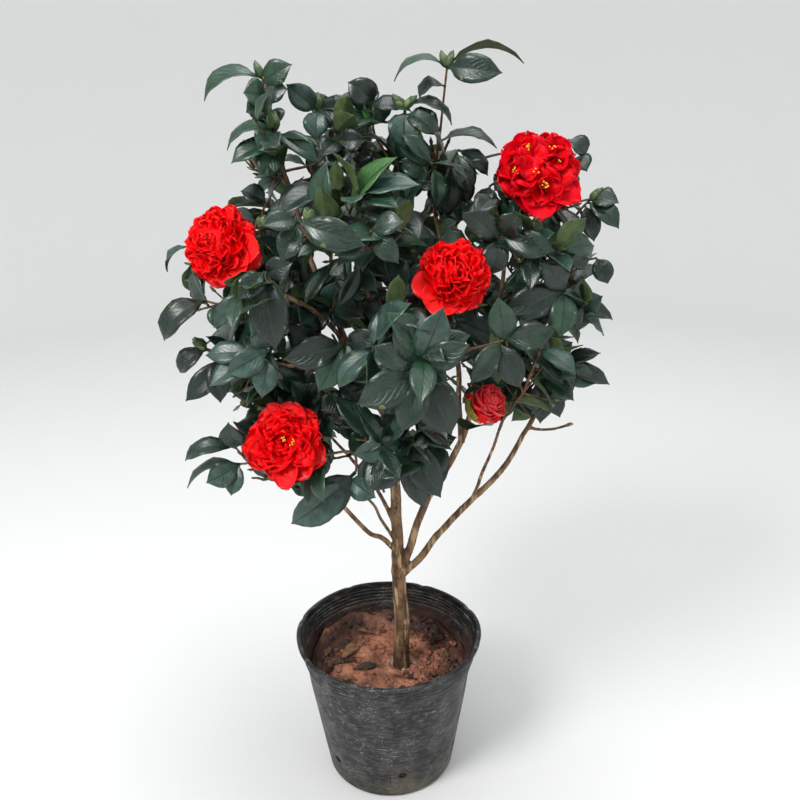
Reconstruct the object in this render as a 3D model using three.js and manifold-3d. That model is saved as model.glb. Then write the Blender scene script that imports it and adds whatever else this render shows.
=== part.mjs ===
// A camellia shrub in a round nursery pot: a short trunk that forks low, boughs that rise from it, and
// masses of leafy twigs with four open double blooms, one that is opening, and plump buds.
// Millimetres, +Z up. The origin is the centre of the pot's flat underside, and -Y is the plant's front.
import * as THREE from "three";
import { mergeVertices } from "three/addons/utils/BufferGeometryUtils.js";
import Module from "manifold-3d";

const wasm = await Module();
wasm.setup();

// Gap between two pieces that touch on the real plant
const CLEAR = 0.3;

// Pot: a thin moulded wall that widens upward to a rolled rim, with drain holes low in the wall
const POT = {
  height: 167,
  rimRadius: 100,
  baseRadius: 70.5,
  wall: 1.6,
  lipWidth: 3,
  lipDepth: 4,
  cornerRadius: 5,
  cornerSteps: 2,
  sides: 32,
};
const DRAIN_HOLE = { count: 6, radius: 4.5, height: 33, sides: 6, firstTurn: -80 };

// Soil: level where the trunk stands, uneven elsewhere
const SOIL = { level: 122, gap: 0.5, relief: 3.2, rings: 5, sides: 24, flatRadius: 32, slope: 16 };

// Limbs: the places that each runs through after it leaves its parent, and its radius at both ends.
// "at" says how far along its parent it starts, from 0 at the parent's root to 1 at its tip.
const TRUNK_FOOT = [14, 0, SOIL.level - 4];
const ROOT_FLARE = { radius: 1.5, height: 9 };
const LIMBS = [
  {
    name: "trunk",
    via: [TRUNK_FOOT, [15, 0, 160], [13, 0, 205], [13, 0, 246]],
    root: 9,
    tip: 7.5,
  },
  {
    name: "central_bough",
    on: "trunk",
    at: 1,
    via: [[12, 2, 285], [10, 4, 351], [9, 8, 408], [6, 10, 467], [1, 12, 527]],
    root: 7,
    tip: 3,
  },
  {
    name: "right_centre_bough",
    on: "trunk",
    at: 0.93,
    via: [[25, 3, 268], [44, 4, 326], [67, 2, 368], [85, 0, 410], [96, -4, 480], [108, -10, 527], [117, -22, 590]],
    root: 4.8,
    tip: 2,
  },
  {
    name: "right_bough",
    on: "trunk",
    at: 0.9,
    via: [[36, -5, 262], [65, -8, 304], [106, -12, 350], [130, -14, 385], [145, -14, 415]],
    root: 4.3,
    tip: 2.4,
  },
  {
    name: "left_bough",
    on: "central_bough",
    at: 0.1,
    via: [[-4, -12, 290], [-17, -27, 305], [-37, -46, 341], [-54, -62, 376]],
    root: 3,
    tip: 2,
  },
  {
    name: "left_thin_bough",
    on: "central_bough",
    at: 0.14,
    via: [[-4, -9, 310], [-15, -28, 341], [-30, -48, 362]],
    root: 2,
    tip: 1.4,
  },
  {
    name: "left_inner_bough",
    on: "central_bough",
    at: 0.2,
    via: [[-4, 9, 328], [-22, 26, 345], [-43, 42, 365], [-66, 55, 388]],
    root: 2.4,
    tip: 1.7,
  },
  {
    name: "low_front_bough",
    on: "central_bough",
    at: 0.27,
    via: [[14, -20, 362], [20, -42, 389], [24, -58, 409]],
    root: 2.4,
    tip: 1.8,
  },
  {
    name: "back_low_bough",
    on: "central_bough",
    at: 0.34,
    via: [[13, 32, 375], [22, 62, 395], [28, 88, 408]],
    root: 2.4,
    tip: 1.8,
  },
  {
    name: "front_bough",
    on: "central_bough",
    at: 0.5,
    via: [[14, -26, 425], [25, -54, 470], [34, -80, 512]],
    root: 2.8,
    tip: 2,
  },
  {
    name: "upper_left_bough",
    on: "central_bough",
    at: 0.56,
    via: [[-12, 0, 452], [-39, -8, 514], [-63, -12, 585], [-80, -8, 650]],
    root: 3.6,
    tip: 2.2,
  },
  {
    name: "middle_left_bough",
    on: "upper_left_bough",
    at: 0.2,
    via: [[-26, -16, 478], [-38, -22, 500]],
    root: 2.2,
    tip: 1.8,
  },
  {
    name: "left_side_bough",
    on: "upper_left_bough",
    at: 0.45,
    via: [[-58, -32, 536], [-80, -50, 556], [-100, -62, 570]],
    root: 2.5,
    tip: 1.8,
  },
  {
    name: "left_low_bough",
    on: "central_bough",
    at: 0.62,
    via: [[-20, -20, 462], [-56, -40, 482], [-92, -56, 496]],
    root: 2.6,
    tip: 1.7,
  },
  {
    name: "back_left_bough",
    on: "central_bough",
    at: 0.66,
    via: [[-12, 48, 475], [-40, 78, 503], [-58, 94, 522]],
    root: 2.6,
    tip: 1.8,
  },
  {
    name: "upper_front_bough",
    on: "central_bough",
    at: 0.72,
    via: [[-2, -14, 520], [-10, -34, 558], [-18, -48, 588]],
    root: 2.6,
    tip: 1.9,
  },
  {
    name: "back_bough",
    on: "central_bough",
    at: 0.82,
    via: [[11, 42, 522], [18, 72, 552], [22, 96, 578]],
    root: 2.5,
    tip: 1.8,
  },
  {
    name: "top_bough",
    on: "central_bough",
    at: 1,
    via: [[-6, 16, 570], [-15, 18, 610], [-22, 16, 645]],
    root: 2.8,
    tip: 1.9,
  },
  {
    name: "top_right_bough",
    on: "right_centre_bough",
    at: 0.52,
    via: [[76, 24, 470], [66, 24, 544], [54, 14, 617], [54, 8, 655]],
    root: 3,
    tip: 2,
  },
  {
    name: "back_right_bough",
    on: "right_centre_bough",
    at: 0.6,
    via: [[106, 36, 452], [125, 68, 475], [137, 92, 492]],
    root: 2.6,
    tip: 1.8,
  },
  {
    name: "right_side_bough",
    on: "right_centre_bough",
    at: 0.72,
    via: [[122, 8, 508], [143, 6, 527], [160, 2, 540]],
    root: 2.4,
    tip: 1.8,
  },
  {
    name: "right_upright_bough",
    on: "right_bough",
    at: 0.52,
    via: [[96, -24, 364], [101, -36, 389], [108, -50, 416], [111, -57, 432]],
    root: 2,
    tip: 1.5,
  },
  {
    name: "bare_side_twig",
    on: "right_bough",
    at: 0.98,
    via: [[157, -18, 411], [170, -20, 412], [184, -20, 416]],
    root: 1.7,
    tip: 1.4,
  },
];
const LIMB_STEP = 42;
const LIMB_SIDES = { trunk: 9, thick: 6, thin: 5, thickFrom: 4 };

// Foliage: each mass has a centre, how far it reaches along X, Y and Z, the tips of the shoots that
// stand out, with the tips of their leaves that do, how many more shoots it has, and a seed for what varies.
const FULL = "full";
const OPENING = "opening";
const MASSES = [
  {
    name: "top_left_foliage",
    on: "upper_left_bough",
    centre: [-92, 4, 688],
    reach: [104, 96, 100],
    tips: [
      { at: [-95, -6, 738], leaves: [[-147, -10, 723], [-71, -10, 750]] },
      { at: [-87, -26, 700], bud: true, leaves: [[-128, -30, 683]] },
      { at: [-54, 8, 718], bud: true, leaves: [[-78, 2, 733]] },
      { at: [-128, 8, 668] },
    ],
    shoots: 3,
    leafScale: 0.82,
    seed: 187,
  },
  {
    name: "top_foliage",
    on: "top_bough",
    centre: [-18, 26, 676],
    reach: [90, 96, 96],
    tips: [
      { at: [0, 6, 716], leaves: [[4, 8, 742], [-26, 4, 728]] },
      { at: [20, -6, 706], bud: true },
      { at: [-36, -12, 694] },
    ],
    shoots: 4,
    leafScale: 0.86,
    seed: 167,
  },
  {
    name: "top_right_foliage",
    on: "top_right_bough",
    centre: [66, 6, 694],
    reach: [96, 96, 104],
    tips: [
      { at: [63, 2, 747], leaves: [[130, -4, 749], [17, -6, 735]] },
      { at: [86, -16, 668], leaves: [[110, -12, 680]] },
      { at: [48, -40, 668] },
    ],
    shoots: 3,
    leafScale: 0.84,
    seed: 199,
  },
  {
    name: "upper_front_foliage",
    on: "upper_front_bough",
    centre: [-24, -66, 606],
    reach: [92, 84, 92],
    tips: [
      { at: [-14, -84, 650] },
      { at: [-52, -84, 628], bud: true },
      { at: [10, -96, 612] },
    ],
    shoots: 3,
    leafScale: 0.95,
    seed: 218,
  },
  {
    name: "upper_right_foliage",
    on: "right_centre_bough",
    centre: [146, -24, 628],
    reach: [92, 96, 92],
    tips: [
      { at: [188, -24, 634], leaves: [[214, -28, 609]] },
      { at: [128, -64, 600] },
      { at: [120, 24, 640] },
    ],
    shoots: 3,
    leafScale: 0.86,
    bloom: { at: [144, -42, 658], face: [0.2, -0.9, 0.35], radius: 35, kind: FULL },
    seed: 192,
  },
  {
    name: "left_foliage",
    on: "left_side_bough",
    centre: [-124, -52, 578],
    reach: [94, 92, 92],
    tips: [
      { at: [-159, -56, 548], leaves: [[-193, -60, 522]] },
      { at: [-92, -70, 640], bud: true },
      { at: [-82, -98, 566] },
    ],
    shoots: 3,
    leafScale: 0.9,
    bloom: { at: [-137, -58, 600], face: [-0.35, -0.85, 0.35], radius: 34, kind: FULL },
    seed: 111,
  },
  {
    name: "left_low_foliage",
    on: "left_low_bough",
    centre: [-116, -44, 488],
    reach: [88, 90, 80],
    tips: [
      { at: [-160, -48, 510], bud: true, leaves: [[-184, -52, 489]] },
      { at: [-108, -92, 518] },
      { at: [-140, -40, 478], leaves: [[-181, -60, 464]] },
    ],
    shoots: 3,
    leafScale: 1,
    seed: 157,
  },
  {
    name: "lower_left_foliage",
    on: "left_bough",
    centre: [-88, -76, 418],
    reach: [106, 90, 76],
    tips: [
      { at: [-134, -75, 418], leaves: [[-181, -80, 412], [-183, -82, 384]] },
      { at: [-120, -50, 396] },
      { at: [-56, -104, 398], leaves: [[-84, -112, 361]] },
      { at: [-36, -92, 390] },
    ],
    shoots: 2,
    leafScale: 1,
    bloom: { at: [-83, -112, 442], face: [-0.05, -0.85, 0.5], radius: 37, kind: FULL },
    seed: 192,
  },
  {
    name: "low_front_foliage",
    on: "low_front_bough",
    centre: [14, -84, 430],
    reach: [82, 80, 74],
    tips: [
      { at: [40, -112, 426] },
      { at: [0, -108, 440] },
    ],
    shoots: 3,
    leafScale: 1,
    seed: 120,
  },
  {
    name: "front_foliage",
    on: "front_bough",
    centre: [40, -104, 530],
    reach: [96, 80, 98],
    tips: [
      { at: [38, -138, 530] },
      { at: [12, -126, 562] },
      { at: [80, -112, 530] },
    ],
    shoots: 3,
    leafScale: 1,
    bloom: { at: [61, -98, 580], face: [0.1, -0.85, 0.45], radius: 33, kind: FULL },
    seed: 180,
  },
  {
    name: "middle_left_foliage",
    on: "middle_left_bough",
    centre: [-52, -30, 522],
    reach: [92, 96, 90],
    tips: [
      { at: [-52, -60, 548] },
      { at: [-58, -52, 500] },
    ],
    shoots: 3,
    leafScale: 0.95,
    seed: 154,
  },
  {
    name: "right_foliage",
    on: "right_side_bough",
    centre: [160, 2, 548],
    reach: [84, 96, 88],
    tips: [
      { at: [188, -12, 560], leaves: [[215, -14, 546]] },
      { at: [188, 14, 528], leaves: [[220, 10, 512]] },
    ],
    shoots: 3,
    leafScale: 0.9,
    seed: 142,
  },
  {
    name: "lower_right_foliage",
    on: "right_bough",
    centre: [154, -6, 466],
    reach: [88, 92, 72],
    tips: [
      { at: [188, -10, 470], leaves: [[223, -12, 455]] },
      { at: [150, -50, 458] },
    ],
    shoots: 3,
    leafScale: 1,
    seed: 105,
  },
  {
    name: "right_inner_foliage",
    on: "right_upright_bough",
    centre: [108, -66, 478],
    reach: [84, 82, 80],
    tips: [
      { at: [124, -88, 482] },
    ],
    shoots: 2,
    leafScale: 0.95,
    bloom: { at: [96, -78, 462], face: [0.25, -0.75, 0.6], radius: 18, kind: OPENING },
    seed: 124,
  },
  {
    name: "back_left_foliage",
    on: "back_left_bough",
    centre: [-94, 92, 560],
    reach: [108, 88, 112],
    tips: [],
    shoots: 5,
    leafScale: 1,
    seed: 111,
  },
  {
    name: "back_foliage",
    on: "back_bough",
    centre: [20, 108, 592],
    reach: [98, 86, 108],
    tips: [],
    shoots: 5,
    leafScale: 1,
    seed: 231,
  },
  {
    name: "back_right_foliage",
    on: "back_right_bough",
    centre: [138, 92, 524],
    reach: [100, 88, 112],
    tips: [],
    shoots: 5,
    leafScale: 1,
    seed: 174,
  },
  {
    name: "back_low_foliage",
    on: "back_low_bough",
    centre: [26, 98, 440],
    reach: [102, 88, 84],
    tips: [],
    shoots: 4,
    leafScale: 1,
    seed: 101,
  },
  {
    name: "inner_left_foliage",
    on: "left_inner_bough",
    centre: [-88, 60, 424],
    reach: [98, 88, 80],
    tips: [],
    shoots: 4,
    leafScale: 1,
    seed: 133,
  },
];

// Twigs: three-sided, thinner to their tips. A stub stands on the limb's tip before the first of them.
const TWIG = { root: 1.8, tip: 1.3, sides: 3, step: 40, fewestSteps: 2, clear: 1.2, tries: 8 };
const COLLAR = { length: 6, free: 5 };

// Tips of the shoots that aren't named: how deep they lie in the mass, and how far apart
const TIP = { depth: 0.5, depthSpread: 0.3, apart: 27, tries: 80, turnedIn: -0.35, margin: 14, fromLimb: 5 };
const CROWN_CENTRE = new THREE.Vector3(10, 0, 520);

// Leaves: "spacing" is how far back from the tip of its shoot each one leaves it.
const LEAF = {
  shortest: 54,
  longest: 78,
  halfWidth: 0.245,
  thick: 1,
  sunk: 0.3,
  spacing: [1, 6, 13, 24],
  atTip: 3,
  tries: 16,
  turnPerTry: 0.63,
  shrinkPerTry: 0.025,
  fromLimb: 2.6,
  fromTwig: 2.2,
  fromLeaf: 6,
};
const LEAF_RINGS = [0, 0.3, 0.68, 1];

// Leaves whose tips are named: how far they arch over, and the way their upper sides face
const NAMED_BEND = 1.5;
const NAMED_FACE = new THREE.Vector3(0, -0.9, 1);
const STALK = { end: 0.12, width: 0.09 };

// Where a leaf is tested, along it and across it. Near its root it may lie close to its neighbours.
const TEST_STATIONS = [0.1, 0.25, 0.4, 0.55, 0.7, 0.85, 1];
const TEST_LANES = [-1, -0.5, 0, 0.5, 1];
const FREE_STATION = 0.25;
const EDGE = 1;

// Bloom: a low dome of packed petals with a ring of guard petals round its back, or a ball while it opens
const DOME = { wide: 0.8, high: 0.5, sides: 7, rings: 4 };
// Way in front of a bloom that stays free: it widens by this share of the distance
const BLOOM_OPEN = 0.3;
const BALL = { wide: 0.95, high: 0.95 };
const PETAL = { count: 5, length: 1.02, halfWidth: 0.46, cup: 0.7, open: 1.35, behind: 0.3 };
const BUD = { radius: 5, length: 9, sides: 4, rings: 3 };

const UP = new THREE.Vector3(0, 0, 1);
const GOLDEN_ANGLE = Math.PI * (3 - Math.sqrt(5));

const plastic = new THREE.MeshStandardMaterial({ color: 0x1d1f22, roughness: 0.5, metalness: 0 });
const earth = new THREE.MeshStandardMaterial({ color: 0x6b3f2e, roughness: 0.95, metalness: 0 });
const bark = new THREE.MeshStandardMaterial({ color: 0x9c7f5f, roughness: 0.8, metalness: 0 });
const foliage = new THREE.MeshStandardMaterial({ color: 0x2c4a3c, roughness: 0.4, metalness: 0 });

// A repeatable run of numbers from 0 to 1
function seeded(seed) {
  let state = seed;
  return () => {
    state = (state * 48271) % 2147483647;
    return state / 2147483647;
  };
}

function vector(place) {
  return new THREE.Vector3(...place);
}

// A closed geometry as a solid, with its shared corners merged and its flat slivers left out
function solid(geometry) {
  const bare = new THREE.BufferGeometry();
  bare.setAttribute("position", geometry.getAttribute("position"));
  bare.setIndex(geometry.index);
  const merged = mergeVertices(bare, 1e-4);
  const corners = merged.index.array;
  const kept = [];
  for (let i = 0; i < corners.length; i += 3) {
    const face = [corners[i], corners[i + 1], corners[i + 2]];
    if (new Set(face).size === 3) kept.push(...face);
  }
  const vertProperties = new Float32Array(merged.getAttribute("position").array);
  return new wasm.Manifold(new wasm.Mesh({ numProp: 3, vertProperties, triVerts: new Uint32Array(kept) }));
}

// The largest body of a solid, without scraps and with no sealed hollow
function mainBody(shape) {
  return shape.decompose().reduce((best, body) => (body.volume() > best.volume() ? body : best));
}

function joined(shapes) {
  return mainBody(shapes.reduce((whole, shape) => whole.add(shape)));
}

function meshOf(name, shape, material) {
  const { numProp, vertProperties, triVerts } = shape.getMesh();
  const count = vertProperties.length / numProp;
  const places = new Float32Array(count * 3);
  for (let i = 0; i < count; i++) {
    places.set(vertProperties.subarray(i * numProp, i * numProp + 3), i * 3);
  }
  const geometry = new THREE.BufferGeometry();
  geometry.setAttribute("position", new THREE.BufferAttribute(places, 3));
  geometry.setIndex(new THREE.BufferAttribute(new Uint32Array(triVerts), 1));
  geometry.computeVertexNormals();
  const mesh = new THREE.Mesh(geometry, material);
  mesh.name = name;
  return mesh;
}

// Points at even steps on a smooth line through the places
function smoothLine(places, steps) {
  const curve = new THREE.CatmullRomCurve3(places, false, "catmullrom");
  return Array.from({ length: steps + 1 }, (_, k) => curve.getPoint(k / steps));
}

function lineLength(points) {
  return points.slice(1).reduce((sum, point, k) => sum + point.distanceTo(points[k]), 0);
}

function directions(points) {
  return points.map((_, k) => {
    const ahead = points[Math.min(k + 1, points.length - 1)];
    const behind = points[Math.max(k - 1, 0)];
    return ahead.clone().sub(behind).normalize();
  });
}

// The unit vector nearest to the wanted one that is square to the direction
function squareTo(direction, wanted) {
  return wanted.clone().addScaledVector(direction, -wanted.dot(direction)).normalize();
}

function anySide(direction) {
  const axis = Math.abs(direction.x) < 0.6 ? new THREE.Vector3(1, 0, 0) : new THREE.Vector3(0, 1, 0);
  return squareTo(direction, axis);
}

// A tapering solid along a line of points, with a radius at each
function tube(points, radii, sides) {
  const steps = points.length - 1;
  const along = directions(points);
  const across = [anySide(along[0])];
  for (let k = 1; k <= steps; k++) across.push(squareTo(along[k], across[k - 1]));
  const over = along.map((direction, k) => across[k].clone().cross(direction));
  const shape = new THREE.CylinderGeometry(1, 1, 1, sides, steps);
  const at = shape.getAttribute("position");
  for (let i = 0; i < at.count; i++) {
    const k = Math.round((at.getY(i) + 0.5) * steps);
    const place = points[k].clone();
    place.addScaledVector(across[k], at.getX(i) * radii[k]);
    place.addScaledVector(over[k], at.getZ(i) * radii[k]);
    at.setXYZ(i, place.x, place.y, place.z);
  }
  return solid(shape);
}

function taper(root, tip, count) {
  return Array.from({ length: count }, (_, k) => THREE.MathUtils.lerp(root, tip, k / (count - 1)));
}

// Pot
function potRadius(height) {
  const wallTop = POT.rimRadius - POT.lipWidth;
  return POT.baseRadius + ((wallTop - POT.baseRadius) * height) / POT.height;
}

function potSolid() {
  const { height, rimRadius, wall, lipDepth, cornerRadius, cornerSteps } = POT;
  const cornerX = potRadius(cornerRadius) - cornerRadius;
  const corner = Array.from({ length: cornerSteps + 1 }, (_, k) => {
    const angle = ((k / cornerSteps) * Math.PI) / 2;
    return [cornerX + cornerRadius * Math.sin(angle), cornerRadius * (1 - Math.cos(angle))];
  });
  const profile = [
    [0, 0],
    ...corner,
    [potRadius(height - lipDepth), height - lipDepth],
    [rimRadius, height - lipDepth * 0.75],
    [rimRadius, height],
    [potRadius(height) - wall, height],
    [potRadius(cornerRadius) - wall, cornerRadius],
    [cornerX, wall],
    [0, wall],
  ];
  let pot = solid(turned(profile, POT.sides));
  for (let k = 0; k < DRAIN_HOLE.count; k++) {
    const angle = (2 * Math.PI * k) / DRAIN_HOLE.count + THREE.MathUtils.degToRad(DRAIN_HOLE.firstTurn);
    const { radius, height: level, sides } = DRAIN_HOLE;
    const drill = new THREE.CylinderGeometry(radius, radius, 6 * wall, sides);
    drill.rotateZ(Math.PI / 2).translate(potRadius(level), 0, level).rotateZ(angle);
    pot = pot.subtract(solid(drill));
  }
  return pot;
}

// A profile of radius and height, turned round the upright axis
function turned(profile, sides) {
  const lathe = new THREE.LatheGeometry(profile.map(([x, z]) => new THREE.Vector2(x, z)), sides);
  return lathe.rotateX(Math.PI / 2);
}

// Soil
function soilRise(x, y) {
  const away = Math.hypot(x - TRUNK_FOOT[0], y - TRUNK_FOOT[1]) - SOIL.flatRadius;
  const share = THREE.MathUtils.clamp(away / SOIL.slope, 0, 1);
  const waves = Math.sin(x * 0.11 + 1.3) * Math.cos(y * 0.09 - 0.4) + 0.6 * Math.sin((x + 2 * y) * 0.07);
  return SOIL.relief * share * waves;
}

function soilSolid() {
  const edge = potRadius(SOIL.level) - POT.wall - SOIL.gap;
  const floor = POT.wall + SOIL.gap;
  const corner = potRadius(POT.cornerRadius) - POT.wall - SOIL.gap;
  const top = Array.from({ length: SOIL.rings }, (_, k) => [edge * (1 - k / SOIL.rings), SOIL.level]);
  const profile = [
    [0, floor],
    [corner - POT.cornerRadius, floor],
    [corner, POT.cornerRadius + SOIL.gap],
    ...top,
    [0, SOIL.level],
  ];
  const shape = turned(profile, SOIL.sides);
  const at = shape.getAttribute("position");
  for (let i = 0; i < at.count; i++) {
    const inTop = at.getZ(i) > SOIL.level - 1;
    const onWall = Math.hypot(at.getX(i), at.getY(i)) > edge - 1;
    if (inTop && !onWall) at.setZ(i, at.getZ(i) + soilRise(at.getX(i), at.getY(i)));
  }
  return solid(shape);
}

// Limbs
function pointOn(points, share) {
  const at = share * (points.length - 1);
  const k = Math.min(Math.floor(at), points.length - 2);
  return points[k].clone().lerp(points[k + 1], at - k);
}

function limbLine(limb, grown) {
  const places = limb.via.map(vector);
  if (limb.on) {
    const parent = grown.get(limb.on);
    const onward = directions(parent.points).at(-1);
    const pastTip = parent.points.at(-1).clone().addScaledVector(onward, CLEAR);
    places.unshift(limb.at < 1 ? pointOn(parent.points, limb.at) : pastTip);
  }
  return smoothLine(places, Math.ceil(lineLength(places) / LIMB_STEP));
}

function limbRadii(limb, points) {
  const radii = taper(limb.root, limb.tip, points.length);
  if (limb.on) return radii;
  return radii.map((radius, k) => {
    const height = Math.max(points[k].z - SOIL.level, 0);
    return radius + ROOT_FLARE.radius * Math.exp(-height / ROOT_FLARE.height);
  });
}

function growLimbs() {
  const grown = new Map();
  for (const limb of LIMBS) {
    const points = limbLine(limb, grown);
    grown.set(limb.name, { ...limb, points, radii: limbRadii(limb, points) });
  }
  return grown;
}

// Each later limb is cut clear of the earlier ones that it leaves or touches, and the trunk of the soil.
function limbSolids(grown) {
  const shapes = new Map();
  const ground = new THREE.CylinderGeometry(POT.rimRadius, POT.rimRadius, SOIL.level, SOIL.sides);
  ground.rotateX(Math.PI / 2).translate(0, 0, SOIL.level / 2 + CLEAR);
  const swollen = [solid(ground)];
  for (const { name, on, root, points, radii } of grown.values()) {
    const thick = root > LIMB_SIDES.thickFrom ? LIMB_SIDES.thick : LIMB_SIDES.thin;
    const sides = on ? thick : LIMB_SIDES.trunk;
    const whole = tube(points, radii, sides);
    shapes.set(name, mainBody(swollen.reduce((shape, other) => shape.subtract(other), whole)));
    swollen.push(tube(points, radii.map((radius) => radius + CLEAR), sides));
  }
  return shapes;
}

// Straight lengths of limb, each with its ends and its larger radius
function limbLengths(grown) {
  return [...grown.values()].flatMap(({ points, radii }) =>
    points.slice(1).map((to, k) => ({ from: points[k], to, radius: radii[k] })),
  );
}

function toLength(place, from, to) {
  const whole = to.clone().sub(from);
  const share = THREE.MathUtils.clamp(place.clone().sub(from).dot(whole) / whole.lengthSq(), 0, 1);
  return place.distanceTo(from.clone().addScaledVector(whole, share));
}

function nearLimb(place, lengths, gap) {
  return lengths.some(({ from, to, radius }) => toLength(place, from, to) < radius + gap);
}

// Space of a mass: its ellipsoid, and flat walls half way to its neighbours
function wallsOf(mass) {
  const own = vector(mass.centre);
  return MASSES.filter((other) => other !== mass).map((other) => {
    const between = vector(other.centre).sub(own);
    const normal = between.clone().normalize();
    return { normal, offset: normal.dot(own) + between.length() / 2 };
  });
}

function inside(space, place, margin) {
  const { centre, reach, walls } = space;
  const x = (place.x - centre[0]) / (reach[0] - margin);
  const y = (place.y - centre[1]) / (reach[1] - margin);
  const z = (place.z - centre[2]) / (reach[2] - margin);
  if (x * x + y * y + z * z > 1) return false;
  return walls.every((wall) => wall.normal.dot(place) <= wall.offset - margin);
}

// Blooms keep the space round themselves free, and the way in front of them.
const BLOOMS = MASSES.filter((mass) => mass.bloom).map(({ name, bloom }) => ({
  ...bloom,
  mass: name,
  at: vector(bloom.at),
  face: vector(bloom.face).normalize(),
}));

function nearBloom(place, gap) {
  return BLOOMS.some(({ at, face, radius }) => {
    const off = place.clone().sub(at);
    const ahead = off.dot(face);
    const aside = Math.sqrt(Math.max(off.lengthSq() - ahead * ahead, 0));
    if (ahead > 0) return aside < radius + gap + BLOOM_OPEN * ahead;
    return off.length() < radius * 0.8 + gap && ahead > -radius * 0.45;
  });
}

function outward(place) {
  return place.clone().sub(CROWN_CENTRE).normalize();
}

// Tips of shoots: the named ones, and others spread over the outer side of the mass
function shootTips(mass, space, draw) {
  const tips = mass.tips.map(({ at, bud, leaves = [] }) => {
    return { tip: vector(at), bud, leaves: leaves.map(vector) };
  });
  const named = tips.length;
  const turn = draw() * 2 * Math.PI;
  const out = outward(vector(mass.centre));
  for (let k = 0; k < TIP.tries && tips.length < named + mass.shoots; k++) {
    const height = 1 - (2 * ((k * 7) % TIP.tries) + 1) / TIP.tries;
    const ring = Math.sqrt(1 - height * height);
    const angle = turn + k * GOLDEN_ANGLE;
    const way = new THREE.Vector3(ring * Math.cos(angle), ring * Math.sin(angle), height);
    const depth = TIP.depth * (1 + TIP.depthSpread * (draw() - 0.5));
    const tip = vector(mass.centre.map((middle, i) => middle + mass.reach[i] * way.getComponent(i) * depth));
    if (way.dot(out) < TIP.turnedIn) continue;
    if (!inside(space, tip, TIP.margin) || nearBloom(tip, EDGE)) continue;
    if (nearLimb(tip, space.lengths, TIP.fromLimb)) continue;
    if (tips.every((other) => other.tip.distanceTo(tip) > TIP.apart)) tips.push({ tip, leaves: [] });
  }
  return tips;
}

// Twigs
function twigClear(points, space, ownTip, toBloom) {
  for (let k = 1; k < points.length; k++) {
    for (const share of [0.33, 0.67, 1]) {
      const place = points[k - 1].clone().lerp(points[k], share);
      if (!inside(space, place, TWIG.root + EDGE)) return false;
      if (!toBloom && nearBloom(place, TWIG.root)) return false;
      const pastCollar = place.distanceTo(ownTip) > COLLAR.free;
      if (pastCollar && nearLimb(place, space.lengths, TWIG.root + TWIG.clear)) return false;
    }
  }
  return true;
}

// The line of a twig from a place on an older one to its tip, which it nears in the end direction
function twigLine(start, along, tip, end) {
  const far = start.distanceTo(tip);
  const way = tip.clone().sub(start).normalize();
  const first = way.multiplyScalar(0.65).addScaledVector(along, 0.35).normalize();
  const early = start.clone().addScaledVector(first, far * 0.33);
  const late = tip.clone().addScaledVector(end, -far * 0.3);
  const steps = Math.max(TWIG.fewestSteps, Math.round(far / TWIG.step));
  return smoothLine([start, early, late, tip], steps);
}

// The first of the best starts from which a twig reaches the goal without touching anything
function growTwig(goal, skeleton, space, ownTip) {
  const cost = ({ place, along, run }) => {
    const way = goal.tip.clone().sub(place);
    const far = way.length();
    return far + 0.3 * run + 30 * (1 - way.divideScalar(far).dot(along));
  };
  const starts = [...skeleton].sort((a, b) => cost(a) - cost(b)).slice(0, TWIG.tries);
  for (const node of starts) {
    const points = twigLine(node.place, node.along, goal.tip, goal.end);
    if (twigClear(points, space, ownTip, Boolean(goal.bloom))) return { points, node };
  }
  return null;
}

// A leaf leaves its twig along "way", faces "up", and arches down by "bend" from its root to its tip.
// Station goes from 0 at the root to 1 at the tip, lane from -1 at one edge to 1 at the other.
function leafPlace(leaf, station, lane, over) {
  const angle = leaf.bend * station;
  const along = (leaf.length * Math.sin(angle)) / leaf.bend;
  const drop = (leaf.length * (1 - Math.cos(angle))) / leaf.bend;
  const normal = leaf.up.clone().multiplyScalar(Math.cos(angle)).addScaledVector(leaf.way, Math.sin(angle));
  return leaf.root
    .clone()
    .addScaledVector(leaf.way, along)
    .addScaledVector(leaf.up, -drop)
    .addScaledVector(leaf.side, leaf.width * leafWidth(station) * lane)
    .addScaledVector(normal, over);
}

// Share of the full width at a station: a thin stalk, then an oval that ends in a point
function leafWidth(station) {
  const share = (station - STALK.end) / (1 - STALK.end);
  if (share <= 0) return STALK.width;
  const oval = Math.sin(Math.PI * Math.min(share, 1) ** 0.85) ** 0.75;
  return Math.max(oval, STALK.width * (1 - share));
}

function leafSamples(leaf) {
  return TEST_STATIONS.flatMap((station) =>
    TEST_LANES.map((lane) => ({ place: leafPlace(leaf, station, lane, 0), free: station >= FREE_STATION })),
  );
}

function leafFits(samples, space, twigs, leaves) {
  for (const { place, free } of samples) {
    if (!inside(space, place, EDGE + LEAF.thick)) return false;
    if (nearBloom(place, EDGE)) return false;
    if (nearLimb(place, space.lengths, LEAF.fromLimb)) return false;
    if (!free) continue;
    for (const { points } of twigs) {
      for (let k = 1; k < points.length; k++) {
        if (toLength(place, points[k - 1], points[k]) < LEAF.fromTwig) return false;
      }
    }
    for (const other of leaves) {
      const met = other.samples.some((one) => one.free && one.place.distanceTo(place) < LEAF.fromLeaf);
      if (met) return false;
    }
  }
  return true;
}

// A leaf that arches over from its root to a named tip
function leafTo(root, tip) {
  const half = NAMED_BEND / 2;
  const chord = tip.clone().sub(root);
  const length = (chord.length() * half) / Math.sin(half);
  const straight = chord.normalize();
  const above = squareTo(straight, NAMED_FACE);
  const way = straight.clone().multiplyScalar(Math.cos(half)).addScaledVector(above, Math.sin(half));
  const up = above.multiplyScalar(Math.cos(half)).addScaledVector(straight, -Math.sin(half));
  return leafOf(root, way, up, length, NAMED_BEND);
}

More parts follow.
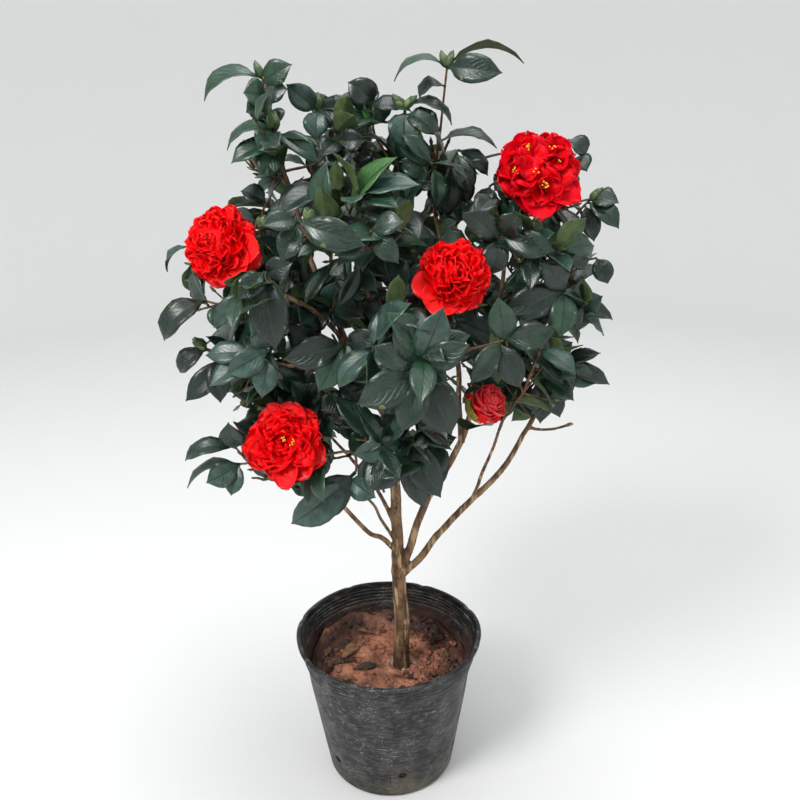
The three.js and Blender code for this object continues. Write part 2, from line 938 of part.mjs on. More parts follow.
function leafOf(root, way, up, length, bend) {
  return {
    root: root.clone().addScaledVector(way, -LEAF.sunk),
    way,
    up,
    side: up.clone().cross(way),
    length: length + LEAF.sunk,
    width: length * LEAF.halfWidth,
    bend,
  };
}

// A leaf turned round its twig by an angle, facing up and out of the crown
function leafAt({ place: root, along }, turn, atTip, scale, draw) {
  const first = anySide(along);
  const second = along.clone().cross(first);
  const side = first.multiplyScalar(Math.cos(turn)).addScaledVector(second, Math.sin(turn));
  const open = atTip ? 0.85 + 0.5 * draw() : 1.05 + 0.45 * draw();
  const out = outward(root);
  const way = along.clone().multiplyScalar(Math.cos(open)).addScaledVector(side, Math.sin(open));
  way.addScaledVector(out, 0.25).addScaledVector(UP, -0.1 - 0.4 * draw()).normalize();
  const face = UP.clone().multiplyScalar(0.75).addScaledVector(out, 0.3 + 0.5 * draw());
  const up = squareTo(way, face);
  const size = scale * (atTip ? 0.92 : 1);
  const length = THREE.MathUtils.lerp(LEAF.shortest, LEAF.longest, draw()) * size;
  return leafOf(root, way, up, length, 0.5 + draw());
}

// Place and direction at a distance back from the end of a line, or null where the line is shorter
function backFromEnd(points, distance) {
  let left = distance;
  for (let k = points.length - 1; k > 0; k--) {
    const step = points[k].distanceTo(points[k - 1]);
    if (left <= step) {
      const along = points[k].clone().sub(points[k - 1]).normalize();
      return { place: points[k].clone().addScaledVector(along, -left), along };
    }
    left -= step;
  }
  return null;
}

function growLeaves(twig, twigs, leaves, space, seed) {
  const turn = seeded(seed * 7919 + 13)() * 2 * Math.PI;
  LEAF.spacing.forEach((distance, i) => {
    const spot = backFromEnd(twig.points, distance);
    if (!spot || lineLength(twig.points) * 0.92 < distance) return;
    const draw = seeded(seed * 7919 + 101 * (i + 1));
    draw();
    const named = twig.goal.leaves[i];
    for (let k = named ? -1 : 0; k < LEAF.tries; k++) {
      const scale = space.leafScale * (1 - LEAF.shrinkPerTry * k);
      const leafTurn = turn + i * GOLDEN_ANGLE + k * LEAF.turnPerTry;
      const leaf = k < 0 ? leafTo(spot.place, named) : leafAt(spot, leafTurn, i < LEAF.atTip, scale, draw);
      const samples = leafSamples(leaf);
      if (leafFits(samples, space, twigs, leaves)) {
        leaves.push({ ...leaf, samples, named: k < 0 });
        return;
      }
    }
  });
}

// What the shoots of a mass grow towards: the bloom's back first, then the tips from near to far
function goalsOf(mass, space, start, draw) {
  const goals = shootTips(mass, space, draw).map((goal) => {
    const end = goal.tip.clone().sub(start).normalize().multiplyScalar(0.7);
    end.addScaledVector(UP, 0.5).addScaledVector(outward(goal.tip), 0.25).normalize();
    return { ...goal, end };
  });
  goals.sort((a, b) => start.distanceTo(a.tip) - start.distanceTo(b.tip));
  const bloom = BLOOMS.find((one) => one.mass === mass.name);
  if (!bloom) return goals;
  const back = bloom.at.clone().addScaledVector(bloom.face, -PETAL.behind * bloom.radius);
  return [{ tip: back, end: bloom.face, leaves: [], bloom }, ...goals];
}

// Twigs and leaves of one mass, from the tip of the limb that carries it
function growMass(mass, grown) {
  const limb = grown.get(mass.on);
  const ownTip = limb.points.at(-1);
  const onward = directions(limb.points).at(-1);
  const centre = vector(mass.centre);
  const farthest = Math.max(...mass.reach) + LEAF.fromLimb + limb.root;
  const lengths = limbLengths(grown).filter(({ from, to }) => toLength(centre, from, to) < farthest);
  const space = { ...mass, walls: wallsOf(mass), lengths };
  const start = ownTip.clone().addScaledVector(onward, CLEAR);
  const collar = start.clone().addScaledVector(onward, COLLAR.length);
  const stub = [start, collar.clone().addScaledVector(onward, EDGE)];
  const skeleton = [{ place: collar, along: onward, run: 0 }];
  const twigs = [{ points: stub, radii: [limb.tip, limb.tip * 0.9] }];
  for (const goal of goalsOf(mass, space, start, seeded(mass.seed * 1009))) {
    const twig = growTwig(goal, skeleton, space, ownTip);
    if (!twig) continue;
    const { points, node } = twig;
    const root = node.run ? TWIG.root : limb.tip;
    twigs.push({ points, radii: taper(root, TWIG.tip, points.length), goal });
    const along = directions(points);
    const stepLength = lineLength(points) / (points.length - 1);
    for (let k = 1; k < points.length - 1; k++) {
      skeleton.push({ place: points[k], along: along[k], run: node.run + stepLength * k });
    }
  }
  const leaves = [];
  twigs.forEach((twig, k) => {
    if (twig.goal) growLeaves(twig, twigs, leaves, space, mass.seed * 31 + k);
  });
  return { twigs, leaves };
}

// A leaf or petal as a closed blade of few faces: sharp at its two edges, with a keel under its midrib
function bladeSolid(leaf) {
  const last = LEAF_RINGS.length - 1;
  const shape = new THREE.SphereGeometry(1, 3, last);
  const at = shape.getAttribute("position");
  for (let i = 0; i < at.count; i++) {
    const ring = Math.round((Math.acos(THREE.MathUtils.clamp(at.getY(i), -1, 1)) / Math.PI) * last);
    const atEnd = ring === 0 || ring === last;
    const atKeel = !atEnd && at.getX(i) < -1e-6;
    const lane = atEnd || atKeel ? 0 : -Math.sign(at.getZ(i));
    const place = leafPlace(leaf, LEAF_RINGS[ring], lane, atKeel ? -LEAF.thick : 0);
    at.setXYZ(i, place.x, place.y, place.z);
  }
  return solid(shape);
}

// A ball of few faces, wide across the facing direction and high along it
function ballSolid(at, face, wide, high, sides, rings) {
  const first = anySide(face);
  const turn = new THREE.Matrix4().makeBasis(first, face, first.clone().cross(face));
  const ball = new THREE.SphereGeometry(1, sides, rings).scale(wide, high, wide);
  return solid(ball.applyMatrix4(turn).translate(at.x, at.y, at.z));
}

function guardPetal({ at, face, radius }, turn) {
  const first = anySide(face);
  const second = first.clone().cross(face);
  const side = first.multiplyScalar(Math.cos(turn)).addScaledVector(second, Math.sin(turn));
  const way = face.clone().multiplyScalar(Math.cos(PETAL.open)).addScaledVector(side, Math.sin(PETAL.open));
  const up = squareTo(way, face).negate();
  return bladeSolid({
    root: at.clone().addScaledVector(face, -PETAL.behind * radius),
    way,
    up,
    side: up.clone().cross(way),
    length: radius * PETAL.length,
    width: radius * PETAL.halfWidth,
    bend: PETAL.cup,
  });
}

function bloomSolids(bloom) {
  const { at, face, radius, kind } = bloom;
  const { wide, high } = kind === OPENING ? BALL : DOME;
  const middle = ballSolid(at, face, radius * wide, radius * high, DOME.sides, DOME.rings);
  if (kind === OPENING) return [middle];
  const turns = Array.from({ length: PETAL.count }, (_, k) => (2 * Math.PI * k) / PETAL.count);
  return [middle, ...turns.map((turn) => guardPetal(bloom, turn))];
}

function massSolid({ twigs, leaves }) {
  const shapes = twigs.map(({ points, radii }) => tube(points, radii, TWIG.sides));
  shapes.push(...leaves.map(bladeSolid));
  for (const { goal } of twigs) {
    if (goal?.bloom) shapes.push(...bloomSolids(goal.bloom));
    if (goal?.bud) shapes.push(ballSolid(goal.tip, goal.end, BUD.radius, BUD.length, BUD.sides, BUD.rings));
  }
  return joined(shapes);
}

// The whole plant in its pot
const limbs = growLimbs();
const camellia = new THREE.Group();
camellia.add(meshOf("pot", potSolid(), plastic));
camellia.add(meshOf("soil", soilSolid(), earth));
for (const [name, shape] of limbSolids(limbs)) camellia.add(meshOf(name, shape, bark));
for (const mass of MASSES) camellia.add(meshOf(mass.name, massSolid(growMass(mass, limbs)), foliage));

export default camellia;
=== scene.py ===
"""A camellia shrub in a black nursery pot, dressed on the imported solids.

Boughs, twigs and leaves grow by the same rule as the solids' and then go on to finer side shoots and more
leaves. Lengths are millimetres until a mesh is made, and metres in the scene.
"""
import math

import bpy
import numpy as np
from mathutils import Matrix, Vector, noise

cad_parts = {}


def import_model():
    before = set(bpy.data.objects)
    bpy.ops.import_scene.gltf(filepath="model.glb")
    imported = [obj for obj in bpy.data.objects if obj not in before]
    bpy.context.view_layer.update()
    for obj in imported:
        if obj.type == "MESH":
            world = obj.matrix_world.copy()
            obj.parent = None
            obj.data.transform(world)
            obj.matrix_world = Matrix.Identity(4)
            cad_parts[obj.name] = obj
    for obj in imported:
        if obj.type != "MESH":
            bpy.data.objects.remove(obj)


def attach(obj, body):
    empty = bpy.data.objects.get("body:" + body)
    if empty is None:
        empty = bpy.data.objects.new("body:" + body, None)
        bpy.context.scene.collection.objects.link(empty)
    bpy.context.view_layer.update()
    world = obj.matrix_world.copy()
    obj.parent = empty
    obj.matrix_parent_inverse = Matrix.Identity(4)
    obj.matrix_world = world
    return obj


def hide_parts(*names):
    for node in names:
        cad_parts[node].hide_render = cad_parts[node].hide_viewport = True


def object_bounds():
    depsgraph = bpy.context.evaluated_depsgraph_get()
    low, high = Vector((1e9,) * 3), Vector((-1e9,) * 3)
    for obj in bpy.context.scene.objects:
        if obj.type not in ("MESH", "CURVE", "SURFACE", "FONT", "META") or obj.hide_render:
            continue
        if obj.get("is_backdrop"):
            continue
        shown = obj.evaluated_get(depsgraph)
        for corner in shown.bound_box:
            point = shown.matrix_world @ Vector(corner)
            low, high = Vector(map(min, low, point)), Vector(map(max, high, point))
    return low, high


MM = 0.001

# Sizes of the plant in its pot, in millimetres: the same as the CAD source's
CLEAR = 0.3
POT = {"height": 167, "rim_radius": 100, "base_radius": 70.5, "wall": 1.6, "lip_width": 3, "lip_depth": 4,
       "corner_radius": 5}
DRAIN_HOLE = {"count": 6, "radius": 4.5, "height": 33, "first": -80}
SOIL = {"level": 122, "gap": 0.5, "relief": 3.2, "flat_radius": 32, "slope": 16}
TRUNK_FOOT = [14, 0, SOIL["level"] - 4]
ROOT_FLARE = {"radius": 1.5, "height": 9}
LIMB_STEP = 42
FULL = "full"
OPENING = "opening"
# Real twigs are slimmer than the solids'
TWIG_SLIM = 0.72
# A full turn, for turns drawn at random
TURN = 6.28
# Seeds: what a mass's or twig's own seed is multiplied by, or where a run of seeds starts and its steps
SEEDS = {"mass": 1009, "spray": 31, "leaf": 7919, "leaf_turn": 13, "leaf_step": 101, "fine": 4001,
         "dress": 613, "buds": 97, "shoot": 9001, "shoot_step": 57, "fill": 15001, "fill_step": 91,
         "bloom": 7001, "bloom_step": 311, "soil": 4271}
LIMBS = [
    {"name": "trunk", "root": 9, "tip": 7.5,
     "via": [TRUNK_FOOT, [15, 0, 160], [13, 0, 205], [13, 0, 246]]},
    {"name": "central_bough", "on": "trunk", "at": 1, "root": 7, "tip": 3,
     "via": [[12, 2, 285], [10, 4, 351], [9, 8, 408], [6, 10, 467], [1, 12, 527]]},
    {"name": "right_centre_bough", "on": "trunk", "at": 0.93, "root": 4.8, "tip": 2,
     "via": [[25, 3, 268], [44, 4, 326], [67, 2, 368], [85, 0, 410], [96, -4, 480], [108, -10, 527],
             [117, -22, 590]]},
    {"name": "right_bough", "on": "trunk", "at": 0.9, "root": 4.3, "tip": 2.4,
     "via": [[36, -5, 262], [65, -8, 304], [106, -12, 350], [130, -14, 385], [145, -14, 415]]},
    {"name": "left_bough", "on": "central_bough", "at": 0.1, "root": 3, "tip": 2,
     "via": [[-4, -12, 290], [-17, -27, 305], [-37, -46, 341], [-54, -62, 376]]},
    {"name": "left_thin_bough", "on": "central_bough", "at": 0.14, "root": 2, "tip": 1.4,
     "via": [[-4, -9, 310], [-15, -28, 341], [-30, -48, 362]]},
    {"name": "left_inner_bough", "on": "central_bough", "at": 0.2, "root": 2.4, "tip": 1.7,
     "via": [[-4, 9, 328], [-22, 26, 345], [-43, 42, 365], [-66, 55, 388]]},
    {"name": "low_front_bough", "on": "central_bough", "at": 0.27, "root": 2.4, "tip": 1.8,
     "via": [[14, -20, 362], [20, -42, 389], [24, -58, 409]]},
    {"name": "back_low_bough", "on": "central_bough", "at": 0.34, "root": 2.4, "tip": 1.8,
     "via": [[13, 32, 375], [22, 62, 395], [28, 88, 408]]},
    {"name": "front_bough", "on": "central_bough", "at": 0.5, "root": 2.8, "tip": 2,
     "via": [[14, -26, 425], [25, -54, 470], [34, -80, 512]]},
    {"name": "upper_left_bough", "on": "central_bough", "at": 0.56, "root": 3.6, "tip": 2.2,
     "via": [[-12, 0, 452], [-39, -8, 514], [-63, -12, 585], [-80, -8, 650]]},
    {"name": "middle_left_bough", "on": "upper_left_bough", "at": 0.2, "root": 2.2, "tip": 1.8,
     "via": [[-26, -16, 478], [-38, -22, 500]]},
    {"name": "left_side_bough", "on": "upper_left_bough", "at": 0.45, "root": 2.5, "tip": 1.8,
     "via": [[-58, -32, 536], [-80, -50, 556], [-100, -62, 570]]},
    {"name": "left_low_bough", "on": "central_bough", "at": 0.62, "root": 2.6, "tip": 1.7,
     "via": [[-20, -20, 462], [-56, -40, 482], [-92, -56, 496]]},
    {"name": "back_left_bough", "on": "central_bough", "at": 0.66, "root": 2.6, "tip": 1.8,
     "via": [[-12, 48, 475], [-40, 78, 503], [-58, 94, 522]]},
    {"name": "upper_front_bough", "on": "central_bough", "at": 0.72, "root": 2.6, "tip": 1.9,
     "via": [[-2, -14, 520], [-10, -34, 558], [-18, -48, 588]]},
    {"name": "back_bough", "on": "central_bough", "at": 0.82, "root": 2.5, "tip": 1.8,
     "via": [[11, 42, 522], [18, 72, 552], [22, 96, 578]]},
    {"name": "top_bough", "on": "central_bough", "at": 1, "root": 2.8, "tip": 1.9,
     "via": [[-6, 16, 570], [-15, 18, 610], [-22, 16, 645]]},
    {"name": "top_right_bough", "on": "right_centre_bough", "at": 0.52, "root": 3, "tip": 2,
     "via": [[76, 24, 470], [66, 24, 544], [54, 14, 617], [54, 8, 655]]},
    {"name": "back_right_bough", "on": "right_centre_bough", "at": 0.6, "root": 2.6, "tip": 1.8,
     "via": [[106, 36, 452], [125, 68, 475], [137, 92, 492]]},
    {"name": "right_side_bough", "on": "right_centre_bough", "at": 0.72, "root": 2.4, "tip": 1.8,
     "via": [[122, 8, 508], [143, 6, 527], [160, 2, 540]]},
    {"name": "right_upright_bough", "on": "right_bough", "at": 0.52, "root": 2, "tip": 1.5,
     "via": [[96, -24, 364], [101, -36, 389], [108, -50, 416], [111, -57, 432]]},
    {"name": "bare_side_twig", "on": "right_bough", "at": 0.98, "root": 1.7, "tip": 1.4,
     "via": [[157, -18, 411], [170, -20, 412], [184, -20, 416]]},
]
MASSES = [
    {"name": "top_left_foliage", "on": "upper_left_bough", "centre": [-92, 4, 688], "reach": [104, 96, 100],
     "shoots": 3, "leaf_scale": 0.82, "seed": 187,
     "tips": [{"at": [-95, -6, 738], "leaves": [[-147, -10, 723], [-71, -10, 750]]},
              {"at": [-87, -26, 700], "bud": True, "leaves": [[-128, -30, 683]]},
              {"at": [-54, 8, 718], "bud": True, "leaves": [[-78, 2, 733]]}, {"at": [-128, 8, 668]}]},
    {"name": "top_foliage", "on": "top_bough", "centre": [-18, 26, 676], "reach": [90, 96, 96],
     "shoots": 4, "leaf_scale": 0.86, "seed": 167,
     "tips": [{"at": [0, 6, 716], "leaves": [[4, 8, 742], [-26, 4, 728]]},
              {"at": [20, -6, 706], "bud": True}, {"at": [-36, -12, 694]}]},
    {"name": "top_right_foliage", "on": "top_right_bough", "centre": [66, 6, 694], "reach": [96, 96, 104],
     "shoots": 3, "leaf_scale": 0.84, "seed": 199,
     "tips": [{"at": [63, 2, 747], "leaves": [[130, -4, 749], [17, -6, 735]]},
              {"at": [86, -16, 668], "leaves": [[110, -12, 680]]}, {"at": [48, -40, 668]}]},
    {"name": "upper_front_foliage", "on": "upper_front_bough", "centre": [-24, -66, 606],
     "reach": [92, 84, 92], "shoots": 3, "leaf_scale": 0.95, "seed": 218,
     "tips": [{"at": [-14, -84, 650]}, {"at": [-52, -84, 628], "bud": True}, {"at": [10, -96, 612]}]},
    {"name": "upper_right_foliage", "on": "right_centre_bough", "centre": [146, -24, 628],
     "reach": [92, 96, 92], "shoots": 3, "leaf_scale": 0.86, "seed": 192,
     "bloom": {"at": [144, -42, 658], "face": [0.2, -0.9, 0.35], "radius": 35, "kind": FULL},
     "tips": [{"at": [188, -24, 634], "leaves": [[214, -28, 609]]}, {"at": [128, -64, 600]},
              {"at": [120, 24, 640]}]},
    {"name": "left_foliage", "on": "left_side_bough", "centre": [-124, -52, 578], "reach": [94, 92, 92],
     "shoots": 3, "leaf_scale": 0.9, "seed": 111,
     "bloom": {"at": [-137, -58, 600], "face": [-0.35, -0.85, 0.35], "radius": 34, "kind": FULL},
     "tips": [{"at": [-159, -56, 548], "leaves": [[-193, -60, 522]]}, {"at": [-92, -70, 640], "bud": True},
              {"at": [-82, -98, 566]}]},
    {"name": "left_low_foliage", "on": "left_low_bough", "centre": [-116, -44, 488], "reach": [88, 90, 80],
     "shoots": 3, "leaf_scale": 1, "seed": 157,
     "tips": [{"at": [-160, -48, 510], "bud": True, "leaves": [[-184, -52, 489]]}, {"at": [-108, -92, 518]},
              {"at": [-140, -40, 478], "leaves": [[-181, -60, 464]]}]},
    {"name": "lower_left_foliage", "on": "left_bough", "centre": [-88, -76, 418], "reach": [106, 90, 76],
     "shoots": 2, "leaf_scale": 1, "seed": 192,
     "bloom": {"at": [-83, -112, 442], "face": [-0.05, -0.85, 0.5], "radius": 37, "kind": FULL},
     "tips": [{"at": [-134, -75, 418], "leaves": [[-181, -80, 412], [-183, -82, 384]]},
              {"at": [-120, -50, 396]}, {"at": [-56, -104, 398], "leaves": [[-84, -112, 361]]},
              {"at": [-36, -92, 390]}]},
    {"name": "low_front_foliage", "on": "low_front_bough", "centre": [14, -84, 430], "reach": [82, 80, 74],
     "shoots": 3, "leaf_scale": 1, "seed": 120,
     "tips": [{"at": [40, -112, 426]}, {"at": [0, -108, 440]}]},
    {"name": "front_foliage", "on": "front_bough", "centre": [40, -104, 530], "reach": [96, 80, 98],
     "shoots": 3, "leaf_scale": 1, "seed": 180,
     "bloom": {"at": [61, -98, 580], "face": [0.1, -0.85, 0.45], "radius": 33, "kind": FULL},
     "tips": [{"at": [38, -138, 530]}, {"at": [12, -126, 562]}, {"at": [80, -112, 530]}]},
    {"name": "middle_left_foliage", "on": "middle_left_bough", "centre": [-52, -30, 522],
     "reach": [92, 96, 90], "shoots": 3, "leaf_scale": 0.95, "seed": 154,
     "tips": [{"at": [-52, -60, 548]}, {"at": [-58, -52, 500]}]},
    {"name": "right_foliage", "on": "right_side_bough", "centre": [160, 2, 548], "reach": [84, 96, 88],
     "shoots": 3, "leaf_scale": 0.9, "seed": 142,
     "tips": [{"at": [188, -12, 560], "leaves": [[215, -14, 546]]},
              {"at": [188, 14, 528], "leaves": [[220, 10, 512]]}]},
    {"name": "lower_right_foliage", "on": "right_bough", "centre": [154, -6, 466], "reach": [88, 92, 72],
     "shoots": 3, "leaf_scale": 1, "seed": 105,
     "tips": [{"at": [188, -10, 470], "leaves": [[223, -12, 455]]}, {"at": [150, -50, 458]}]},
    {"name": "right_inner_foliage", "on": "right_upright_bough", "centre": [108, -66, 478],
     "reach": [84, 82, 80], "shoots": 2, "leaf_scale": 0.95, "seed": 124,
     "bloom": {"at": [96, -78, 462], "face": [0.25, -0.75, 0.6], "radius": 18, "kind": OPENING},
     "tips": [{"at": [124, -88, 482]}]},
    {"name": "back_left_foliage", "on": "back_left_bough", "centre": [-94, 92, 560], "reach": [108, 88, 112],
     "shoots": 5, "leaf_scale": 1, "seed": 111, "tips": []},
    {"name": "back_foliage", "on": "back_bough", "centre": [20, 108, 592], "reach": [98, 86, 108],
     "shoots": 5, "leaf_scale": 1, "seed": 231, "tips": []},
    {"name": "back_right_foliage", "on": "back_right_bough", "centre": [138, 92, 524],
     "reach": [100, 88, 112], "shoots": 5, "leaf_scale": 1, "seed": 174, "tips": []},
    {"name": "back_low_foliage", "on": "back_low_bough", "centre": [26, 98, 440], "reach": [102, 88, 84],
     "shoots": 4, "leaf_scale": 1, "seed": 101, "tips": []},
    {"name": "inner_left_foliage", "on": "left_inner_bough", "centre": [-88, 60, 424], "reach": [98, 88, 80],
     "shoots": 4, "leaf_scale": 1, "seed": 133, "tips": []},
]

# The rule by which twigs and leaves grow, with the CAD source's values
TWIG = {"root": 1.8, "tip": 1.3, "step": 40, "fewest_steps": 2, "clear": 1.2, "tries": 8,
        "ahead": 0.65, "along": 0.35, "first_handle": 0.33, "last_handle": 0.3, "run_cost": 0.3,
        "turn_cost": 30, "end": [0.7, 0.5, 0.25]}
COLLAR = {"length": 6, "free": 5}
TIP = {"depth": 0.5, "depth_spread": 0.3, "apart": 27, "tries": 80, "stride": 7, "turned_in": -0.35,
       "margin": 14, "from_limb": 5}
LEAF = {"lengths": [54, 78], "half_width": 0.245, "thick": 1, "sunk": 0.3,
        "spacing": [1, 6, 13, 24], "at_tip": 3, "tries": 16, "turn_per_try": 0.63, "shrink_per_try": 0.025,
        "from_limb": 2.6, "from_twig": 2.2, "from_leaf": 6, "opening": [1.05, 0.45],
        "tip_opening": [0.85, 0.5], "outward": 0.25, "droop": [-0.1, -0.4], "up": 0.75, "out": [0.3, 0.5],
        "tip_size": 0.92, "bend": [0.5, 1], "used": 0.92}
NAMED_BEND = 1.5
NAMED_FACE = np.array([0, -0.9, 1.0])
STALK = {"end": 0.12, "width": 0.09}
TEST_STATIONS = np.array([0.1, 0.25, 0.4, 0.55, 0.7, 0.85, 1])
TEST_LANES = np.array([-1, -0.5, 0, 0.5, 1])
FREE_STATION = 0.25
EDGE = 1
BLOOM_OPEN = 0.3
BLOOM_BEHIND = 0.3
BLOOM_ROUND, BLOOM_BACK = 0.8, 0.45
CROWN_CENTRE = np.array([10, 0, 520.0])
UP = np.array([0, 0, 1.0])
GOLDEN_ANGLE = math.pi * (3 - math.sqrt(5))

# Small vector helpers
def unit(v):
    return v / math.sqrt(float(v @ v))


def square_to(direction, wanted):
    """The unit vector nearest to the wanted one that is square to the direction."""
    return unit(wanted - direction * float(wanted @ direction))


def any_side(direction):
    axis = np.array([1.0, 0, 0]) if abs(direction[0]) < 0.6 else np.array([0, 1.0, 0])
    return square_to(direction, axis)


def side_at(direction, turn):
    """The side of a direction at a turn round it."""
    first = any_side(direction)
    return first * math.cos(turn) + np.cross(direction, first) * math.sin(turn)


def spread_way(k, stride, tries, turn):
    """One of many directions that are spread evenly over a ball."""
    height = 1 - (2 * ((k * stride) % tries) + 1) / tries
    ring = math.sqrt(1 - height * height)
    angle = turn + k * GOLDEN_ANGLE
    return np.array([ring * math.cos(angle), ring * math.sin(angle), height])


def drawn(pair, draw):
    """The first of a pair, and by chance up to the whole of the second more."""
    return pair[0] + pair[1] * draw()


def between(pair, share):
    return pair[0] + (pair[1] - pair[0]) * share


def nearest(places, place):
    return places[np.argmin(np.linalg.norm(places - place, axis=1))]


def seeded(seed):
    """A repeatable run of numbers from 0 to 1."""
    state = [seed]

    def draw():
        state[0] = (state[0] * 48271) % 2147483647
        return state[0] / 2147483647

    return draw


# Lines
def smooth_line(places, steps):
    """Points at even steps on a smooth line through the places."""
    p = np.array(places, float)
    p = np.vstack([2 * p[0] - p[1], p, 2 * p[-1] - p[-2]])
    spans = len(places) - 1
    points = []
    for k in range(steps + 1):
        at = spans * k / steps
        i = min(int(at), spans - 1)
        w = at - i
        a, b, c, d = p[i:i + 4]
        start, end = 0.5 * (c - a), 0.5 * (d - b)
        square = w * w * (3 * (c - b) - 2 * start - end)
        cube = w ** 3 * (2 * (b - c) + start + end)
        points.append(b + w * start + square + cube)
    return np.array(points)


def finer_line(points, step):
    """The same line with more points, smoothed."""
    return smooth_line(points, max(2, math.ceil(line_length(points) / step)))


def line_length(points):
    return float(np.linalg.norm(np.diff(points, axis=0), axis=1).sum())


def directions(points):
    ahead = np.vstack([points[1:], points[-1:]])
    behind = np.vstack([points[:1], points[:-1]])
    way = ahead - behind
    return way / np.linalg.norm(way, axis=1)[:, None]


def point_on(points, share):
    at = share * (len(points) - 1)
    k = min(int(at), len(points) - 2)
    return points[k] + (points[k + 1] - points[k]) * (at - k)


def back_from_end(points, distance):
    """Place and direction at a distance back from the end of a line, or None where it is shorter."""
    left = distance
    for k in range(len(points) - 1, 0, -1):
        step = float(np.linalg.norm(points[k] - points[k - 1]))
        if left <= step:
            along = (points[k] - points[k - 1]) / step
            return points[k] - along * left, along
        left -= step
    return None


# Limbs
def grow_limbs():
    grown = {}
    for limb in LIMBS:
        places = [np.array(place, float) for place in limb["via"]]
        if "on" in limb:
            parent = grown[limb["on"]]["points"]
            past_tip = parent[-1] + directions(parent)[-1] * CLEAR
            places.insert(0, point_on(parent, limb["at"]) if limb["at"] < 1 else past_tip)
        points = smooth_line(places, math.ceil(line_length(np.array(places)) / LIMB_STEP))
        radii = np.linspace(limb["root"], limb["tip"], len(points))
        if "on" not in limb:
            height = np.maximum(points[:, 2] - SOIL["level"], 0)
            radii = radii + ROOT_FLARE["radius"] * np.exp(-height / ROOT_FLARE["height"])
        grown[limb["name"]] = {**limb, "points": points, "radii": radii}
    return grown


def limb_lengths(grown):
    """Straight lengths of limb: both ends of each, and its larger radius."""
    starts = np.vstack([limb["points"][:-1] for limb in grown.values()])
    ends = np.vstack([limb["points"][1:] for limb in grown.values()])
    radii = np.concatenate([limb["radii"][:-1] for limb in grown.values()])
    return starts, ends, radii


def to_lengths(places, starts, ends):
    """Distance of each place from each straight length."""
    whole = ends - starts
    off = places[:, None, :] - starts[None]
    share = np.clip((off * whole[None]).sum(2) / (whole * whole).sum(1)[None], 0, 1)
    return np.linalg.norm(off - whole[None] * share[..., None], axis=2)


# Space of a mass: its ellipsoid, and flat walls half way to its neighbours
def walls_of(mass):
    own = np.array(mass["centre"], float)
    between = np.array([other["centre"] for other in MASSES if other is not mass], float) - own
    far = np.linalg.norm(between, axis=1)
    normals = between / far[:, None]
    return normals, normals @ own + far / 2


class Space:
    """Where a mass may grow, and what it keeps clear of."""

    def __init__(self, mass, lengths):
        self.centre = np.array(mass["centre"], float)
        self.reach = np.array(mass["reach"], float)
        self.normals, self.offsets = walls_of(mass)
        self.lengths = lengths
        self.leaf_scale = mass["leaf_scale"]

    def inside(self, places, margin):
        off = (places - self.centre) / (self.reach - margin)
        if (np.sum(off * off, axis=1) > 1).any():
            return False
        return bool((places @ self.normals.T <= self.offsets - margin).all())

    def near_limb(self, places, gap):
        starts, ends, radii = self.lengths
        return bool((to_lengths(places, starts, ends) < radii[None] + gap).any())


BLOOMS = [{**mass["bloom"], "mass": mass["name"], "at": np.array(mass["bloom"]["at"], float),
           "face": unit(np.array(mass["bloom"]["face"], float))} for mass in MASSES if "bloom" in mass]


def near_bloom(places, gap):
    for bloom in BLOOMS:
        off = places - bloom["at"]
        ahead = off @ bloom["face"]
        far = np.linalg.norm(off, axis=1)
        aside = np.sqrt(np.maximum(far * far - ahead * ahead, 0))
        radius = bloom["radius"]
        in_front = (ahead > 0) & (aside < radius + gap + BLOOM_OPEN * ahead)
        behind = (ahead <= 0) & (far < radius * BLOOM_ROUND + gap) & (ahead > -radius * BLOOM_BACK)
        if (in_front | behind).any():
            return True
    return False


def outward(place):
    return unit(place - CROWN_CENTRE)


def shoot_tips(mass, space, draw):
    """Tips of shoots: the named ones, and others spread over the outer side of the mass."""
    tips = [{"tip": np.array(tip["at"], float), "bud": tip.get("bud", False),
             "leaves": [np.array(leaf, float) for leaf in tip.get("leaves", [])]} for tip in mass["tips"]]
    wanted = len(tips) + mass["shoots"]
    turn = draw() * 2 * math.pi
    out = outward(space.centre)
    for k in range(TIP["tries"]):
        if len(tips) >= wanted:
            break
        way = spread_way(k, TIP["stride"], TIP["tries"], turn)
        depth = TIP["depth"] * (1 + TIP["depth_spread"] * (draw() - 0.5))
        tip = space.centre + space.reach * way * depth
        if way @ out < TIP["turned_in"]:
            continue
        if not space.inside(tip[None], TIP["margin"]) or near_bloom(tip[None], EDGE):
            continue
        if space.near_limb(tip[None], TIP["from_limb"]):
            continue
        if all(np.linalg.norm(other["tip"] - tip) > TIP["apart"] for other in tips):
            tips.append({"tip": tip, "bud": False, "leaves": []})
    return tips


# Twigs
def twig_clear(points, space, own_tip, to_bloom, clear):
    shares = np.array([0.33, 0.67, 1])
    steps = np.diff(points, axis=0)
    places = (points[:-1, None, :] + steps[:, None, :] * shares[None, :, None]).reshape(-1, 3)
    if not space.inside(places, TWIG["root"] + EDGE):
        return False
    if not to_bloom and near_bloom(places, TWIG["root"]):
        return False
    past = places[np.linalg.norm(places - own_tip, axis=1) > COLLAR["free"]]
    return len(past) == 0 or not space.near_limb(past, TWIG["root"] + clear)


def twig_line(start, along, tip, end):
    far = float(np.linalg.norm(tip - start))
    first = unit(TWIG["ahead"] * (tip - start) / far + TWIG["along"] * along)
    steps = max(TWIG["fewest_steps"], math.floor(far / TWIG["step"] + 0.5))
    after_start = start + first * far * TWIG["first_handle"]
    before_tip = tip - end * far * TWIG["last_handle"]
    return smooth_line([start, after_start, before_tip, tip], steps)


